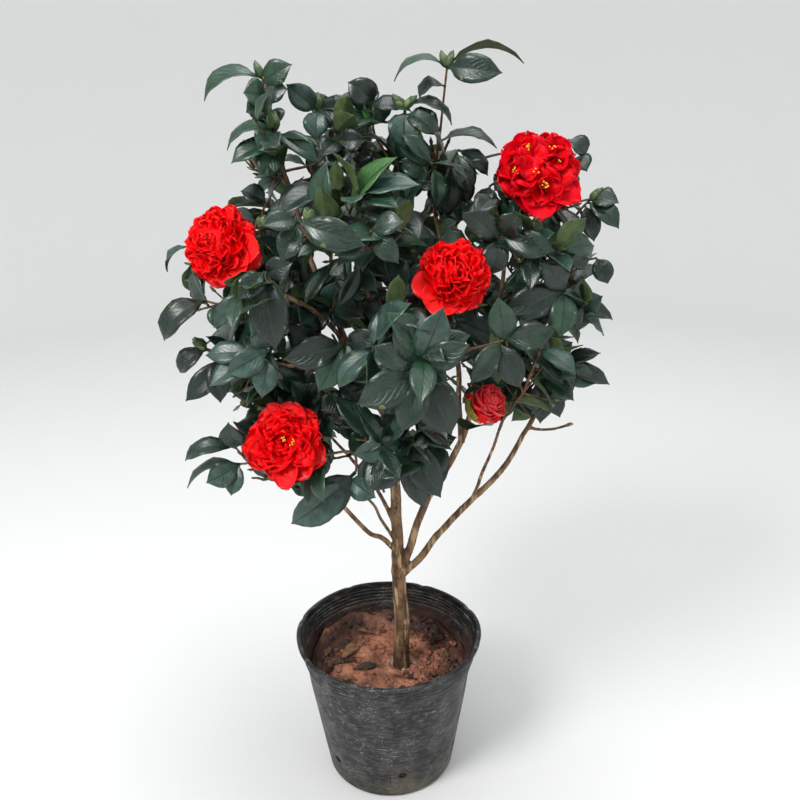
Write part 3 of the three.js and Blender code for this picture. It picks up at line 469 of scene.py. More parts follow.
def grow_twig(goal, skeleton, space, own_tip, clear):
    """The first of the best starts from which a twig reaches the goal without touching anything."""
    def cost(node):
        way = goal["tip"] - node["place"]
        far = float(np.linalg.norm(way))
        turned = 1 - float(way @ node["along"]) / far
        return far + TWIG["run_cost"] * node["run"] + TWIG["turn_cost"] * turned

    for node in sorted(skeleton, key=cost)[:TWIG["tries"]]:
        points = twig_line(node["place"], node["along"], goal["tip"], goal["end"])
        if twig_clear(points, space, own_tip, "bloom" in goal, clear):
            return points, node
    return None


# Leaves: one leaves its twig along "way", faces "up", and arches down by "bend" from root to tip
def leaf_width(station):
    """Share of the full width at a station: a thin stalk, then an oval that ends in a point."""
    share = (station - STALK["end"]) / (1 - STALK["end"])
    if share <= 0:
        return STALK["width"]
    oval = max(math.sin(math.pi * min(share, 1) ** 0.85), 0) ** 0.75
    return max(oval, STALK["width"] * (1 - share))


TEST_WIDTHS = np.array([leaf_width(station) for station in TEST_STATIONS])


def leaf_samples(leaf):
    """Test places on a leaf: one row for each station."""
    angle = leaf["bend"] * TEST_STATIONS
    along = leaf["length"] * np.sin(angle) / leaf["bend"]
    drop = leaf["length"] * (1 - np.cos(angle)) / leaf["bend"]
    spine = leaf["root"] + along[:, None] * leaf["way"] - drop[:, None] * leaf["up"]
    aside = (leaf["width"] * TEST_WIDTHS)[:, None] * TEST_LANES[None]
    return spine[:, None, :] + aside[..., None] * leaf["side"]


def room_of(samples):
    """The free part of a leaf's test places, their middle, and how far they reach from it."""
    free = samples[TEST_STATIONS >= FREE_STATION].reshape(-1, 3)
    middle = free.mean(axis=0)
    return free, middle, float(np.linalg.norm(free - middle, axis=1).max())


def gap_to(leaf, free):
    """The smallest gap between a leaf's free test places and others."""
    return np.linalg.norm(leaf["free"][:, None, :] - free[None], axis=2).min()


def leaf_fits(samples, space, twig_lengths, leaves, rule):
    places = samples.reshape(-1, 3)
    if not space.inside(places, EDGE + LEAF["thick"]) or near_bloom(places, EDGE):
        return False
    if space.near_limb(places, rule["from_limb"]):
        return False
    free, middle, reach = room_of(samples)
    if (to_lengths(free, *twig_lengths) < rule["from_twig"]).any():
        return False
    for other in leaves:
        if np.linalg.norm(other["middle"] - middle) > reach + other["reach"] + rule["from_leaf"]:
            continue
        if gap_to(other, free) < rule["from_leaf"]:
            return False
    return True


def leaf_of(root, way, up, length, bend):
    return {"root": root - way * LEAF["sunk"], "way": way, "up": up, "side": np.cross(up, way),
            "length": length + LEAF["sunk"], "width": length * LEAF["half_width"], "bend": bend}


def leaf_to(root, tip, bend, face):
    """A leaf that arches over from its root to its tip, with its upper side turned to a face."""
    half = bend / 2
    chord = tip - root
    length = float(np.linalg.norm(chord)) * half / math.sin(half)
    straight = unit(chord)
    above = square_to(straight, face)
    way = straight * math.cos(half) + above * math.sin(half)
    return leaf_of(root, way, above * math.cos(half) - straight * math.sin(half), length, bend)


def leaf_way(root, along, turn, at_tip, rule, draw):
    """The way of a leaf that is turned round its twig by an angle."""
    side = side_at(along, turn)
    opening = drawn(rule["tip_opening"] if at_tip else rule["opening"], draw)
    way = along * math.cos(opening) + side * math.sin(opening) + outward(root) * LEAF["outward"]
    return unit(way + UP * drawn(rule["droop"], draw))


def leaf_at(root, along, turn, at_tip, scale, draw):
    """A leaf that faces up and out of the crown."""
    way = leaf_way(root, along, turn, at_tip, LEAF, draw)
    up = square_to(way, UP * LEAF["up"] + outward(root) * drawn(LEAF["out"], draw))
    size = scale * (LEAF["tip_size"] if at_tip else 1)
    length = between(LEAF["lengths"], draw()) * size
    return leaf_of(root, way, up, length, drawn(LEAF["bend"], draw))


def add_leaf(leaf, samples, leaves, spray):
    free, middle, reach = room_of(samples)
    leaves.append({**leaf, "samples": samples, "free": free, "middle": middle, "reach": reach,
                   "spray": spray})


def grow_leaves(twig, twig_lengths, leaves, space, seed):
    turn = seeded(seed * SEEDS["leaf"] + SEEDS["leaf_turn"])() * 2 * math.pi
    whole = line_length(twig["points"])
    for i, distance in enumerate(LEAF["spacing"]):
        spot = back_from_end(twig["points"], distance)
        if spot is None or whole * LEAF["used"] < distance:
            continue
        draw = seeded(seed * SEEDS["leaf"] + SEEDS["leaf_step"] * (i + 1))
        draw()
        named = twig["goal"]["leaves"][i] if i < len(twig["goal"]["leaves"]) else None
        for k in range(-1 if named is not None else 0, LEAF["tries"]):
            scale = space.leaf_scale * (1 - LEAF["shrink_per_try"] * k)
            leaf_turn = turn + i * GOLDEN_ANGLE + k * LEAF["turn_per_try"]
            if k < 0:
                leaf = leaf_to(spot[0], named, NAMED_BEND, NAMED_FACE)
            else:
                leaf = leaf_at(*spot, leaf_turn, i < LEAF["at_tip"], scale, draw)
            samples = leaf_samples(leaf)
            if leaf_fits(samples, space, twig_lengths, leaves, LEAF):
                add_leaf(leaf, samples, leaves, seed)
                break


def goals_of(mass, space, start, draw):
    """What the shoots of a mass grow towards: the bloom's back first, then the tips from near to far."""
    goals = shoot_tips(mass, space, draw)
    for goal in goals:
        goal["end"] = end_way(goal["tip"], start)
    goals.sort(key=lambda goal: float(np.linalg.norm(goal["tip"] - start)))
    bloom = next((one for one in BLOOMS if one["mass"] == mass["name"]), None)
    if bloom is None:
        return goals
    back = bloom["at"] - bloom["face"] * BLOOM_BEHIND * bloom["radius"]
    return [{"tip": back, "end": bloom["face"], "leaves": [], "bud": False, "bloom": bloom}] + goals


def end_way(tip, start):
    straight, lifted, out = TWIG["end"]
    return unit(straight * unit(tip - start) + lifted * UP + out * outward(tip))


def lengths_of(twigs):
    starts = np.vstack([twig["points"][:-1] for twig in twigs])
    ends = np.vstack([twig["points"][1:] for twig in twigs])
    return starts, ends


def grow_mass(mass, grown):
    """Twigs and leaves of one mass, from the tip of the limb that carries it, as in the solids."""
    limb = grown[mass["on"]]
    own_tip = limb["points"][-1]
    onward = directions(limb["points"])[-1]
    starts, ends, radii = limb_lengths(grown)
    centre = np.array(mass["centre"], float)
    farthest = max(mass["reach"]) + LEAF["from_limb"] + limb["root"]
    near = to_lengths(centre[None], starts, ends)[0] < farthest
    space = Space(mass, (starts[near], ends[near], radii[near]))
    start = own_tip + onward * CLEAR
    collar = start + onward * COLLAR["length"]
    skeleton = [{"place": collar, "along": onward, "run": 0.0}]
    twigs = [{"points": np.array([start, collar + onward * EDGE]), "radii": limb["tip"] * np.array([1, 0.9])}]
    for goal in goals_of(mass, space, start, seeded(mass["seed"] * SEEDS["mass"])):
        found = grow_twig(goal, skeleton, space, own_tip, TWIG["clear"])
        if found is None:
            continue
        add_twig(goal, *found, limb["tip"], skeleton, twigs)
    twig_lengths = lengths_of(twigs)
    leaves = []
    for k, twig in enumerate(twigs):
        if "goal" in twig:
            grow_leaves(twig, twig_lengths, leaves, space, mass["seed"] * SEEDS["spray"] + k)
    return {"mass": mass, "space": space, "own_tip": own_tip, "start": start, "skeleton": skeleton,
            "twigs": twigs, "leaves": leaves}


def add_twig(goal, points, node, first_radius, skeleton, twigs):
    root = TWIG["root"] if node["run"] else first_radius
    twigs.append({"points": points, "radii": np.linspace(root, TWIG["tip"], len(points)), "goal": goal})
    along = directions(points)
    step = line_length(points) / (len(points) - 1)
    for k in range(1, len(points) - 1):
        skeleton.append({"place": points[k], "along": along[k], "run": node["run"] + step * k})


# The photograph's frame: its camera, and places that are read off it in pixels
FOCAL_PIXELS, FRAME_PIXELS = 847, 800
EYE = np.array([17.3, -790, 732.0])
PITCH, ROLL = math.radians(20.4), math.radians(1.0)


def camera_axes():
    """The camera's right, up and backward directions, as rows."""
    level_up = np.array([0, math.sin(PITCH), math.cos(PITCH)])
    level_right = np.array([1.0, 0, 0])
    right = level_right * math.cos(ROLL) - level_up * math.sin(ROLL)
    above = level_up * math.cos(ROLL) + level_right * math.sin(ROLL)
    return np.array([right, above, np.cross(right, above)])


CAMERA_AXES = camera_axes()


def at_pixel(u, v, depth):
    """The place seen at a pixel of the photograph whose distance behind the trunk's plane is known."""
    half = FRAME_PIXELS / 2
    ray = np.array([(u - half) / FOCAL_PIXELS, (half - v) / FOCAL_PIXELS, -1]) @ CAMERA_AXES
    return EYE + ray * (depth - EYE[1]) / ray[1]


def pixels_of(places):
    seen = (np.asarray(places, float).reshape(-1, 3) - EYE) @ CAMERA_AXES.T
    half = FRAME_PIXELS / 2
    return half + FOCAL_PIXELS * np.stack([seen[:, 0], -seen[:, 1]], 1) / -seen[:, 2:3]


# Outline of the close foliage in the photograph; single leaves and shoots stand out of it
CROWN_EDGE = np.array([[244, 95], [262, 84], [284, 84], [312, 86], [325, 94], [345, 96], [358, 92],
                       [380, 92], [398, 100], [414, 104], [428, 112], [438, 132], [452, 148], [470, 156],
                       [484, 172], [496, 178], [500, 150], [520, 134], [560, 134], [582, 160], [584, 192],
                       [594, 205], [590, 222], [598, 234], [600, 262], [596, 290], [596, 318], [588, 332],
                       [584, 345], [590, 360], [580, 374], [574, 390], [568, 404], [550, 414], [530, 424],
                       [500, 430], [478, 428], [462, 436], [452, 446], [450, 478], [440, 494], [426, 500],
                       [408, 498], [398, 480], [386, 490], [366, 500], [340, 508], [316, 512], [300, 506],
                       [292, 490], [262, 478], [244, 462], [238, 440], [236, 420], [238, 402], [222, 398],
                       [205, 395], [196, 378], [205, 352], [202, 335], [208, 315], [196, 305], [178, 300],
                       [176, 286], [184, 276], [184, 246], [202, 216], [228, 208], [238, 198], [242, 188],
                       [254, 182], [260, 176], [250, 166], [236, 158], [243, 146], [258, 140], [256, 126],
                       [248, 112]])
# Gaps in it through which the wall shows: middle and radius
OPENINGS = [[330, 332, 6], [352, 335, 6], [366, 346, 5], [376, 408, 7], [370, 395, 5], [322, 376, 5],
            [331, 386, 4], [454, 366, 7], [464, 380, 7], [452, 392, 6], [424, 200, 4], [418, 210, 4],
            [290, 100, 9], [296, 121, 9], [287, 122, 6], [340, 446, 7], [352, 462, 7], [340, 462, 6],
            [322, 262, 5], [338, 274, 4], [504, 272, 6], [300, 152, 5], [290, 172, 5], [384, 130, 6],
            [360, 118, 4], [430, 140, 4], [214, 300, 5], [222, 290, 4], [478, 186, 5], [460, 226, 4],
            [516, 330, 4], [296, 100, 5], [310, 122, 4]]


def in_sky(places):
    """Whether any of the places is seen outside the crown's outline or in one of its gaps."""
    pixels = pixels_of(places)
    before, after = CROWN_EDGE, np.roll(CROWN_EDGE, -1, axis=0)
    u, v = pixels[:, :1], pixels[:, 1:]
    over = (before[None, :, 1] > v) != (after[None, :, 1] > v)
    fall = np.where(after[:, 1] == before[:, 1], 1e-9, after[:, 1] - before[:, 1])
    run = (after[:, 0] - before[:, 0]) / fall
    left = u < before[None, :, 0] + run[None] * (v - before[None, :, 1])
    if ((over & left).sum(axis=1) % 2 == 0).any():
        return True
    return any((np.hypot(pixels[:, 0] - u0, pixels[:, 1] - v0) < radius).any() for u0, v0, radius in OPENINGS)


# What the solids leave out: finer side shoots, and more leaves that face more ways
FINE_TIP = {"apart": 13, "tries": 170, "stride": 11, "margin": 8, "depth": 0.2, "depth_spread": 0.5}
SIDE_SHOOTS = {"top_left_foliage": 7, "top_foliage": 9, "top_right_foliage": 7, "lower_right_foliage": 6}
SIDE_SHOOTS_ELSEWHERE = 13
SIDE_SHOOT_SLIM = 0.75
FINE_LEAF = {"spacing": [3, 10, 19, 30, 42, 55], "side_spacing": [1, 6, 13, 22], "scale": 0.9,
             "shrink_per_try": 0.03, "from_limb": 1.4, "from_twig": 1.0, "from_leaf": 3.2, "tries": 12,
             "at_tip": 2, "opening": [0.95, 0.45], "tip_opening": [0.7, 0.5], "droop": [0.2, -0.5],
             "bend": [0.2, 0.8], "wide": [0.83, 0.2]}
# How leaves turn: to the front of the crown, less so behind it, and any way round, mostly by a little
FACING = {"front": 0.8, "behind": 0.01, "crowded": 1.7, "up": [0.35, 0.5], "round": [0.35, 0.65]}
FRONT = np.array([0, -1.0, 0])
# Steps along a twig where it is cut back, and where the nearest place on it is looked for
CUT_STEP, SEARCH_STEP = 2, 4
JOINED = 4
SHORTEST_STUB = 5
BEHIND = 50


def facing(place, way, draw):
    """The side that a leaf turns up: to the light, out of the crown, and any way round at random."""
    out = outward(place) * np.array([1, 1, 0])
    base = unit(out + FRONT * (FACING["front"] if place[1] < BEHIND else FACING["behind"]))
    chance = 2 * draw() - 1
    swing = math.pi * math.copysign(abs(chance) ** FACING["crowded"], chance)
    turned = np.array([base[0] * math.cos(swing) - base[1] * math.sin(swing),
                       base[0] * math.sin(swing) + base[1] * math.cos(swing), 0])
    return square_to(way, UP * drawn(FACING["up"], draw) + turned * drawn(FACING["round"], draw))


def fine_leaf(root, along, turn, at_tip, scale, draw):
    """A leaf of a side shoot: held out from its twig, with a soft arch."""
    way = leaf_way(root, along, turn, at_tip, FINE_LEAF, draw)
    length = between(LEAF["lengths"], draw()) * scale
    leaf = leaf_of(root, way, facing(root, way, draw), length, between(FINE_LEAF["bend"], draw()))
    return {**leaf, "width": leaf["width"] * drawn(FINE_LEAF["wide"], draw)}


def turn_leaves(plant, twig_lengths, draw):
    """Rolls leaves on their stalks, where there is room, so that they don't all lie flat."""
    leaves, space = plant["leaves"], plant["space"]
    for k, leaf in enumerate(leaves):
        chance = draw()
        if leaf["bend"] == NAMED_BEND:
            continue
        up = facing(leaf["root"], leaf["way"], draw)
        turned = {**leaf, "up": up, "side": np.cross(up, leaf["way"]),
                  "bend": leaf["bend"] * (0.4 + 0.5 * chance)}
        samples = leaf_samples(turned)
        others = leaves[:k] + leaves[k + 1:]
        if leaf_fits(samples, space, twig_lengths, others, FINE_LEAF) and not in_sky(samples.reshape(-1, 3)):
            kept = []
            add_leaf(turned, samples, kept, leaf["spray"])
            leaves[k] = kept[0]


def fine_tips(plant, draw):
    """Tips for side shoots, spread through the whole mass between the shoots that it has."""
    mass, space = plant["mass"], plant["space"]
    taken = [twig["points"][-1] for twig in plant["twigs"][1:]]
    turn = draw() * 2 * math.pi
    tips = []
    for k in range(FINE_TIP["tries"]):
        if len(tips) >= SIDE_SHOOTS.get(mass["name"], SIDE_SHOOTS_ELSEWHERE):
            break
        way = spread_way(k, FINE_TIP["stride"], FINE_TIP["tries"], turn)
        tip = space.centre + space.reach * way * (FINE_TIP["depth"] + FINE_TIP["depth_spread"] * draw())
        if not space.inside(tip[None], FINE_TIP["margin"]) or near_bloom(tip[None], EDGE):
            continue
        if in_sky(tip[None]) or space.near_limb(tip[None], TIP["from_limb"]):
            continue
        if all(np.linalg.norm(other - tip) > FINE_TIP["apart"] for other in taken + tips):
            tips.append(tip)
    return tips


def grow_fine(plant):
    """Adds side shoots to a mass, and more leaves on every shoot."""
    mass, space, twigs, leaves = plant["mass"], plant["space"], plant["twigs"], plant["leaves"]
    draw = seeded(mass["seed"] * SEEDS["fine"] + 7)
    first = len(twigs)
    for tip in fine_tips(plant, draw):
        goal = {"tip": tip, "end": end_way(tip, plant["start"]), "leaves": [], "bud": False}
        found = grow_twig(goal, plant["skeleton"], space, plant["own_tip"], FINE_LEAF["from_twig"])
        if found is not None:
            add_twig(goal, *found, TWIG["root"], plant["skeleton"], twigs)
            twigs[-1]["radii"] = twigs[-1]["radii"] * SIDE_SHOOT_SLIM
    twig_lengths = lengths_of(twigs)
    turn_leaves(plant, twig_lengths, draw)
    leaves[:] = [leaf for leaf in leaves if not in_sky(leaf["samples"])]
    for k, twig in enumerate(twigs[1:], 1):
        spacing = FINE_LEAF["spacing"] if k < first else FINE_LEAF["side_spacing"]
        turn = draw() * 2 * math.pi
        for i, distance in enumerate(spacing):
            spot = back_from_end(twig["points"], distance)
            if spot is None:
                continue
            for attempt in range(FINE_LEAF["tries"]):
                scale = space.leaf_scale * FINE_LEAF["scale"] * (1 - FINE_LEAF["shrink_per_try"] * attempt)
                leaf_turn = turn + i * GOLDEN_ANGLE + attempt * LEAF["turn_per_try"]
                leaf = fine_leaf(*spot, leaf_turn, i < FINE_LEAF["at_tip"], scale, draw)
                samples = leaf_samples(leaf)
                if in_sky(samples.reshape(-1, 3)):
                    continue
                if leaf_fits(samples, space, twig_lengths, leaves, FINE_LEAF):
                    add_leaf(leaf, samples, leaves, mass["seed"] * SEEDS["spray"] + k)
                    break


def stands_out(places):
    return in_sky(places) or in_petals(places)


def cut_back(plant):
    """Ends each twig where it would stand out of the crown, and drops what hung on the lost part."""
    kept, lines = [plant["twigs"][0]], [finer_line(plant["twigs"][0]["points"], CUT_STEP)]
    for twig in plant["twigs"][1:]:
        line = finer_line(twig["points"], CUT_STEP)
        if np.linalg.norm(np.vstack(lines) - line[0], axis=1).min() > JOINED:
            continue
        leafy = "bloom" not in twig["goal"]
        outside = [k for k in range(len(line)) if leafy and stands_out(line[k:k + 1])]
        if outside:
            whole = len(line)
            line = line[:outside[0]]
            if len(line) < SHORTEST_STUB:
                continue
            radii = np.interp(np.arange(len(line)) / (whole - 1) * (len(twig["points"]) - 1),
                              np.arange(len(twig["points"])), twig["radii"])
            twig = {**twig, "points": line, "radii": radii}
        kept.append(twig)
        lines.append(line)
    places = np.vstack(lines)
    plant["twigs"][:] = kept
    plant["leaves"][:] = [leaf for leaf in plant["leaves"]
                          if np.linalg.norm(places - leaf["root"], axis=1).min() < JOINED]


# Shoots and leaves that show one by one in the photograph. A shoot has its mass, its depth, its line in
# pixels, and its leaves: pixels of root and tip, arch in radians, how far it faces the front, and width.
SHOOTS = [
    ["top_right_foliage", 0, [(434, 172), (439, 142), (443, 105), (447, 68)],
     [(443, 62, 394, 81, 2.0, 0.35, 0.8), (456, 60, 524, 63, 1.7, -0.2, 0.8),
      (452, 69, 503, 73, 0.9, 2.0, 1.0), (445, 88, 419, 99, 1.9, 0.5, 0.95),
      (441, 143, 497, 148, 1.3, 0.25, 0.85)], [(440, 52), (454, 49)]],
    ["top_right_foliage", -14, [(430, 178), (412, 138), (404, 108)],
     [(408, 108, 452, 125, 1.9, 0.35, 0.8), (404, 116, 438, 136, 1.5, 1.2, 1.0),
      (398, 112, 403, 147, 1.3, 1.6, 1.25), (396, 108, 372, 106, 1.0, 0.9, 0.9)], [(396, 100), (413, 102)]],
    ["top_right_foliage", -8, [(440, 190), (450, 166), (458, 150)],
     [(458, 150, 488, 176, 1.2, 0.8, 0.85), (456, 154, 470, 196, 0.9, 1.4, 0.9)], []],
    ["top_foliage", -4, [(388, 160), (374, 132), (374, 102)],
     [(374, 100, 348, 82, -1.9, 2.5, 1.15), (376, 102, 412, 112, 1.0, 0.7, 0.8),
      (373, 110, 350, 128, 1.2, 1.2, 0.9), (374, 106, 336, 100, 0.9, 0.35, 0.8)], []],
    ["top_foliage", -20, [(366, 176), (340, 160), (338, 142)],
     [(338, 142, 366, 140, 0.8, 1.5, 0.9), (336, 146, 338, 172, 0.9, 1.5, 1.1),
      (340, 140, 322, 156, 0.9, 1.2, 0.9)], []],
    ["top_left_foliage", 6, [(322, 160), (318, 132), (317, 110)],
     [(315, 108, 286, 84, 1.1, 1.5, 0.95), (320, 104, 374, 124, 1.2, 0.5, 0.8),
      (322, 110, 316, 140, 1.1, 1.3, 1.0), (318, 106, 356, 112, 0.8, 1.8, 1.1)], [(318, 90)]],
    ["top_left_foliage", -6, [(292, 190), (280, 160), (268, 110), (262, 78)],
     [(262, 76, 204, 101, 1.7, 0.45, 0.85), (262, 80, 292, 63, 0.7, 1.6, 0.95),
      (266, 94, 243, 92, 1.2, 1.4, 1.1), (268, 94, 288, 88, 1.0, 1.4, 0.9),
      (269, 106, 246, 113, 1.1, 1.5, 1.1), (270, 108, 272, 128, 1.0, 1.5, 1.3)], [(257, 68)]],
    ["top_left_foliage", -24, [(290, 190), (280, 160), (276, 130)],
     [(274, 128, 227, 150, 1.8, 0.45, 0.8), (274, 146, 231, 164, 1.1, 1.0, 0.9),
      (276, 150, 261, 181, 0.8, 1.5, 0.9), (278, 134, 320, 166, 1.0, 1.1, 0.9),
      (276, 132, 258, 150, 1.0, 1.7, 1.2)], [(275, 119)]],
    ["left_foliage", -30, [(262, 240), (262, 215), (268, 200)],
     [(262, 202, 223, 206, 1.2, 0.6, 0.9), (266, 204, 240, 192, 0.9, 0.8, 0.9)], []],
    ["left_foliage", -30, [(232, 270), (206, 262), (188, 246)],
     [(188, 246, 167, 272, 1.5, 0.2, 0.8)], []],
    ["left_foliage", -62, [(244, 300), (220, 304), (203, 300)],
     [(203, 300, 170, 289, 0.8, 1.6, 0.85), (204, 306, 163, 341, 1.9, 0.9, 0.9),
      (222, 302, 218, 330, 0.9, 1.3, 0.8)], []],
    ["left_low_foliage", -62, [(244, 366), (226, 358), (206, 350)],
     [(206, 351, 180, 373, 1.6, 0.9, 0.9), (226, 358, 184, 401, 0.9, 1.4, 0.8),
      (214, 376, 222, 404, 0.8, 1.3, 0.95)], [(198, 340)]],
    ["lower_left_foliage", -80, [(262, 450), (250, 462), (236, 448)],
     [(236, 446, 185, 461, 1.9, 0.6, 0.7), (238, 440, 228, 422, 0.9, 1.2, 1.0)], []],
    ["lower_left_foliage", -80, [(262, 450), (250, 462), (240, 464)],
     [(240, 460, 187, 488, 1.3, 0.05, 0.7), (238, 468, 206, 483, 0.7, 2.0, 1.05),
      (240, 462, 231, 496, 0.7, 1.0, 0.8)], []],
    ["lower_left_foliage", -96, [(352, 452), (356, 470), (350, 478)],
     [(334, 470, 291, 524, 1.2, 1.6, 0.9), (374, 484, 301, 518, 0.8, 1.8, 1.1),
      (350, 478, 376, 498, 0.9, 1.4, 1.0)], []],
    ["low_front_foliage", -110, [(400, 446), (408, 438)],
     [(406, 438, 352, 454, 0.8, 1.8, 0.95), (404, 440, 372, 492, 0.9, 1.8, 1.0),
      (410, 440, 441, 498, 1.0, 1.9, 0.95), (412, 444, 424, 508, 0.9, 1.9, 0.8),
      (410, 436, 452, 450, 1.1, 0.5, 0.8)], []],
    ["upper_right_foliage", -24, [(566, 226), (582, 208), (590, 200)],
     [(590, 200, 619, 203, 0.8, 1.0, 1.0), (590, 206, 619, 229, 1.2, 1.2, 0.85),
      (588, 208, 594, 242, 0.8, 1.4, 0.8)], [(594, 196)]],
    ["upper_right_foliage", 10, [(566, 200), (572, 160), (568, 140)],
     [(566, 138, 585, 156, 1.3, 0.7, 1.0), (571, 160, 587, 172, 0.9, 1.2, 1.0)], []],
    ["right_foliage", -10, [(566, 280), (584, 262), (596, 258)],
     [(596, 258, 608, 284, 1.2, 1.7, 0.85), (588, 262, 566, 262, 0.8, 1.4, 0.8)], []],
    ["right_foliage", -30, [(540, 330), (560, 318), (572, 310)],
     [(572, 310, 584, 278, 0.8, 1.9, 1.1), (572, 308, 613, 320, 1.5, 0.9, 0.8),
      (572, 316, 604, 336, 1.1, 0.4, 0.8), (574, 304, 603, 296, 0.7, 1.4, 1.0)], []],
    ["lower_right_foliage", -30, [(530, 372), (552, 366), (562, 364)],
     [(562, 362, 601, 353, 0.7, 0.7, 0.75), (562, 366, 610, 385, 1.0, 1.1, 0.7),
      (560, 376, 596, 384, 0.8, 1.4, 1.0), (548, 386, 574, 401, 1.0, 1.2, 0.9),
      (546, 392, 560, 418, 0.9, 1.2, 0.9), (540, 392, 540, 424, 0.9, 1.4, 1.0)], []],
    ["front_foliage", -138, [(436, 402), (428, 384), (420, 364)],
     [(418, 364, 372, 346, 0.8, 1.8, 1.0), (420, 360, 396, 312, 0.8, 1.8, 1.0),
      (422, 360, 444, 306, 0.8, 1.8, 1.0), (424, 362, 470, 344, 0.8, 1.8, 1.0),
      (422, 368, 452, 436, 0.9, 1.8, 1.15), (416, 368, 356, 404, 0.9, 1.8, 1.0),
      (420, 370, 402, 432, 0.9, 1.8, 1.0)], []],
    ["front_foliage", -120, [(470, 350), (492, 344), (504, 340)],
     [(504, 340, 556, 330, 0.8, 1.6, 1.0), (500, 342, 520, 388, 0.8, 1.6, 1.0),
      (500, 338, 470, 384, 0.8, 1.6, 0.9), (504, 338, 498, 296, 0.8, 1.6, 1.0)], []],
    ["left_foliage", -104, [(276, 292), (270, 280), (264, 272)],
     [(264, 272, 276, 350, 0.7, 1.9, 1.0), (264, 272, 238, 300, 0.8, 1.4, 0.9),
      (266, 272, 292, 262, 0.8, 1.5, 0.9)], []],
    ["left_low_foliage", -96, [(262, 368), (268, 356), (272, 348)],
     [(270, 346, 226, 374, 0.8, 1.8, 1.05), (274, 346, 254, 322, 0.8, 1.6, 0.95),
      (274, 350, 262, 398, 0.8, 1.7, 1.0)], []],
    ["middle_left_foliage", -92, [(330, 372), (340, 352), (346, 344)],
     [(346, 344, 282, 360, 0.7, 1.8, 1.0), (346, 344, 372, 386, 0.8, 1.7, 1.05),
      (344, 346, 318, 392, 0.8, 1.7, 1.1), (348, 342, 384, 334, 0.8, 1.5, 0.9)], []],
    ["upper_front_foliage", -128, [(316, 244), (304, 232), (298, 222)],
     [(300, 221, 366, 246, 0.7, 1.7, 0.9), (298, 224, 282, 262, 0.8, 1.6, 0.9),
      (296, 220, 262, 226, 0.9, 1.2, 0.9)], []],
    ["upper_front_foliage", -120, [(362, 250), (368, 238), (372, 230)],
     [(372, 230, 399, 264, 1.3, 1.5, 0.8), (370, 232, 334, 256, 0.8, 1.7, 0.95),
      (372, 228, 404, 222, 0.9, 1.2, 0.9)], []],
    ["upper_right_foliage", -70, [(520, 262), (510, 246), (500, 236)],
     [(500, 236, 462, 212, 0.8, 1.6, 1.0), (500, 238, 486, 276, 0.8, 1.6, 1.0),
      (504, 238, 556, 252, 0.8, 1.5, 1.0), (500, 234, 520, 212, 0.8, 1.4, 1.0)], []],
    ["right_foliage", -66, [(548, 300), (560, 292), (566, 290)],
     [(566, 290, 500, 312, 0.7, 1.7, 0.95), (566, 288, 540, 262, 0.8, 1.6, 0.95),
      (566, 292, 560, 338, 0.8, 1.7, 1.05)], []],
]
# Darker sprays behind them that close the crown: pixel and depth of each
FILLS = [[264, 480, -60], [252, 478, -50], [492, 66, 40], [300, 322, -10], [470, 242, -10], [470, 208, 10],
         [456, 226, 30], [358, 304, 40], [346, 316, 10], [330, 306, -20], [374, 312, 20], [420, 190, 20],
         [406, 204, 0], [288, 490, -70], [266, 480, -60], [240, 424, -50], [338, 276, 0], [322, 292, 10],
         [510, 152, 20], [518, 168, 10], [406, 290, 10], [244, 452, -50], [584, 384, -30], [338, 458, -60],
         [400, 160, 10], [440, 186, 10], [302, 494, -80], [384, 492, -60], [392, 296, 30], [444, 112, 10],
         [384, 122, 0], [314, 182, 0], [350, 456, -60], [490, 186, 0], [372, 330, 30], [310, 350, 20],
         [392, 348, 10], [470, 300, 10], [506, 226, 0], [340, 240, 10], [430, 268, 30], [300, 270, 10],
         [362, 200, 10], [336, 200, 0], [524, 356, 0], [356, 404, -20], [368, 426, -40], [346, 396, -60],
         [468, 384, -20], [234, 422, -70], [262, 472, -90], [352, 444, -40], [300, 404, -60],
         [276, 382, -20]]
FILL = {"leaves": 5, "lengths": [28, 42], "from_leaf": 1.3, "tries": 9, "shrink_per_try": 0.05, "looks": 90,
        "bend": [0.5, 0.6], "front": [0.4, 1.4], "wide": 0.95, "sway": [3, -6], "steps": 10}
SHOOT_TWIG = [1.25, 0.95]
# Placed leaves: those that turn to the front by more than "turned" look up less, those that do so by more
# than "raised" stand ahead of the rest, and none is narrower than "narrowest"
PLACED = {"turned": 1.4, "upright": 0.25, "narrowest": 11.5, "raised": 1, "ahead": 8, "deep": 12, "steps": 4}
SLENDER_BUD = {"rings": 9, "sides": 12, "radius": 3.5, "length": 16, "scales": 6, "rows": 6, "lanes": 6,
               "layer": 0.12}


def placed_leaf(root, tip, arch, front, wide):
    """A leaf from its root to its tip, arched, and turned to the front by its share."""
    lifted = UP * (PLACED["upright"] if front >= PLACED["turned"] else 1)
    leaf = leaf_to(root, tip, abs(arch), lifted + FRONT * front)
    return {**leaf, "width": max(leaf["width"], PLACED["narrowest"]) * wide}


def on_twigs(plant, place):
    """The place on a mass's twigs that is nearest to a place."""
    return nearest(np.vstack([finer_line(twig["points"], SEARCH_STEP) for twig in plant["twigs"]]), place)


def add_placed_twig(plant, points, buds):
    radii = np.linspace(*SHOOT_TWIG, len(points)) / TWIG_SLIM
    plant["twigs"].append({"points": points, "radii": radii, "goal": {"placed": True, "buds": buds}})


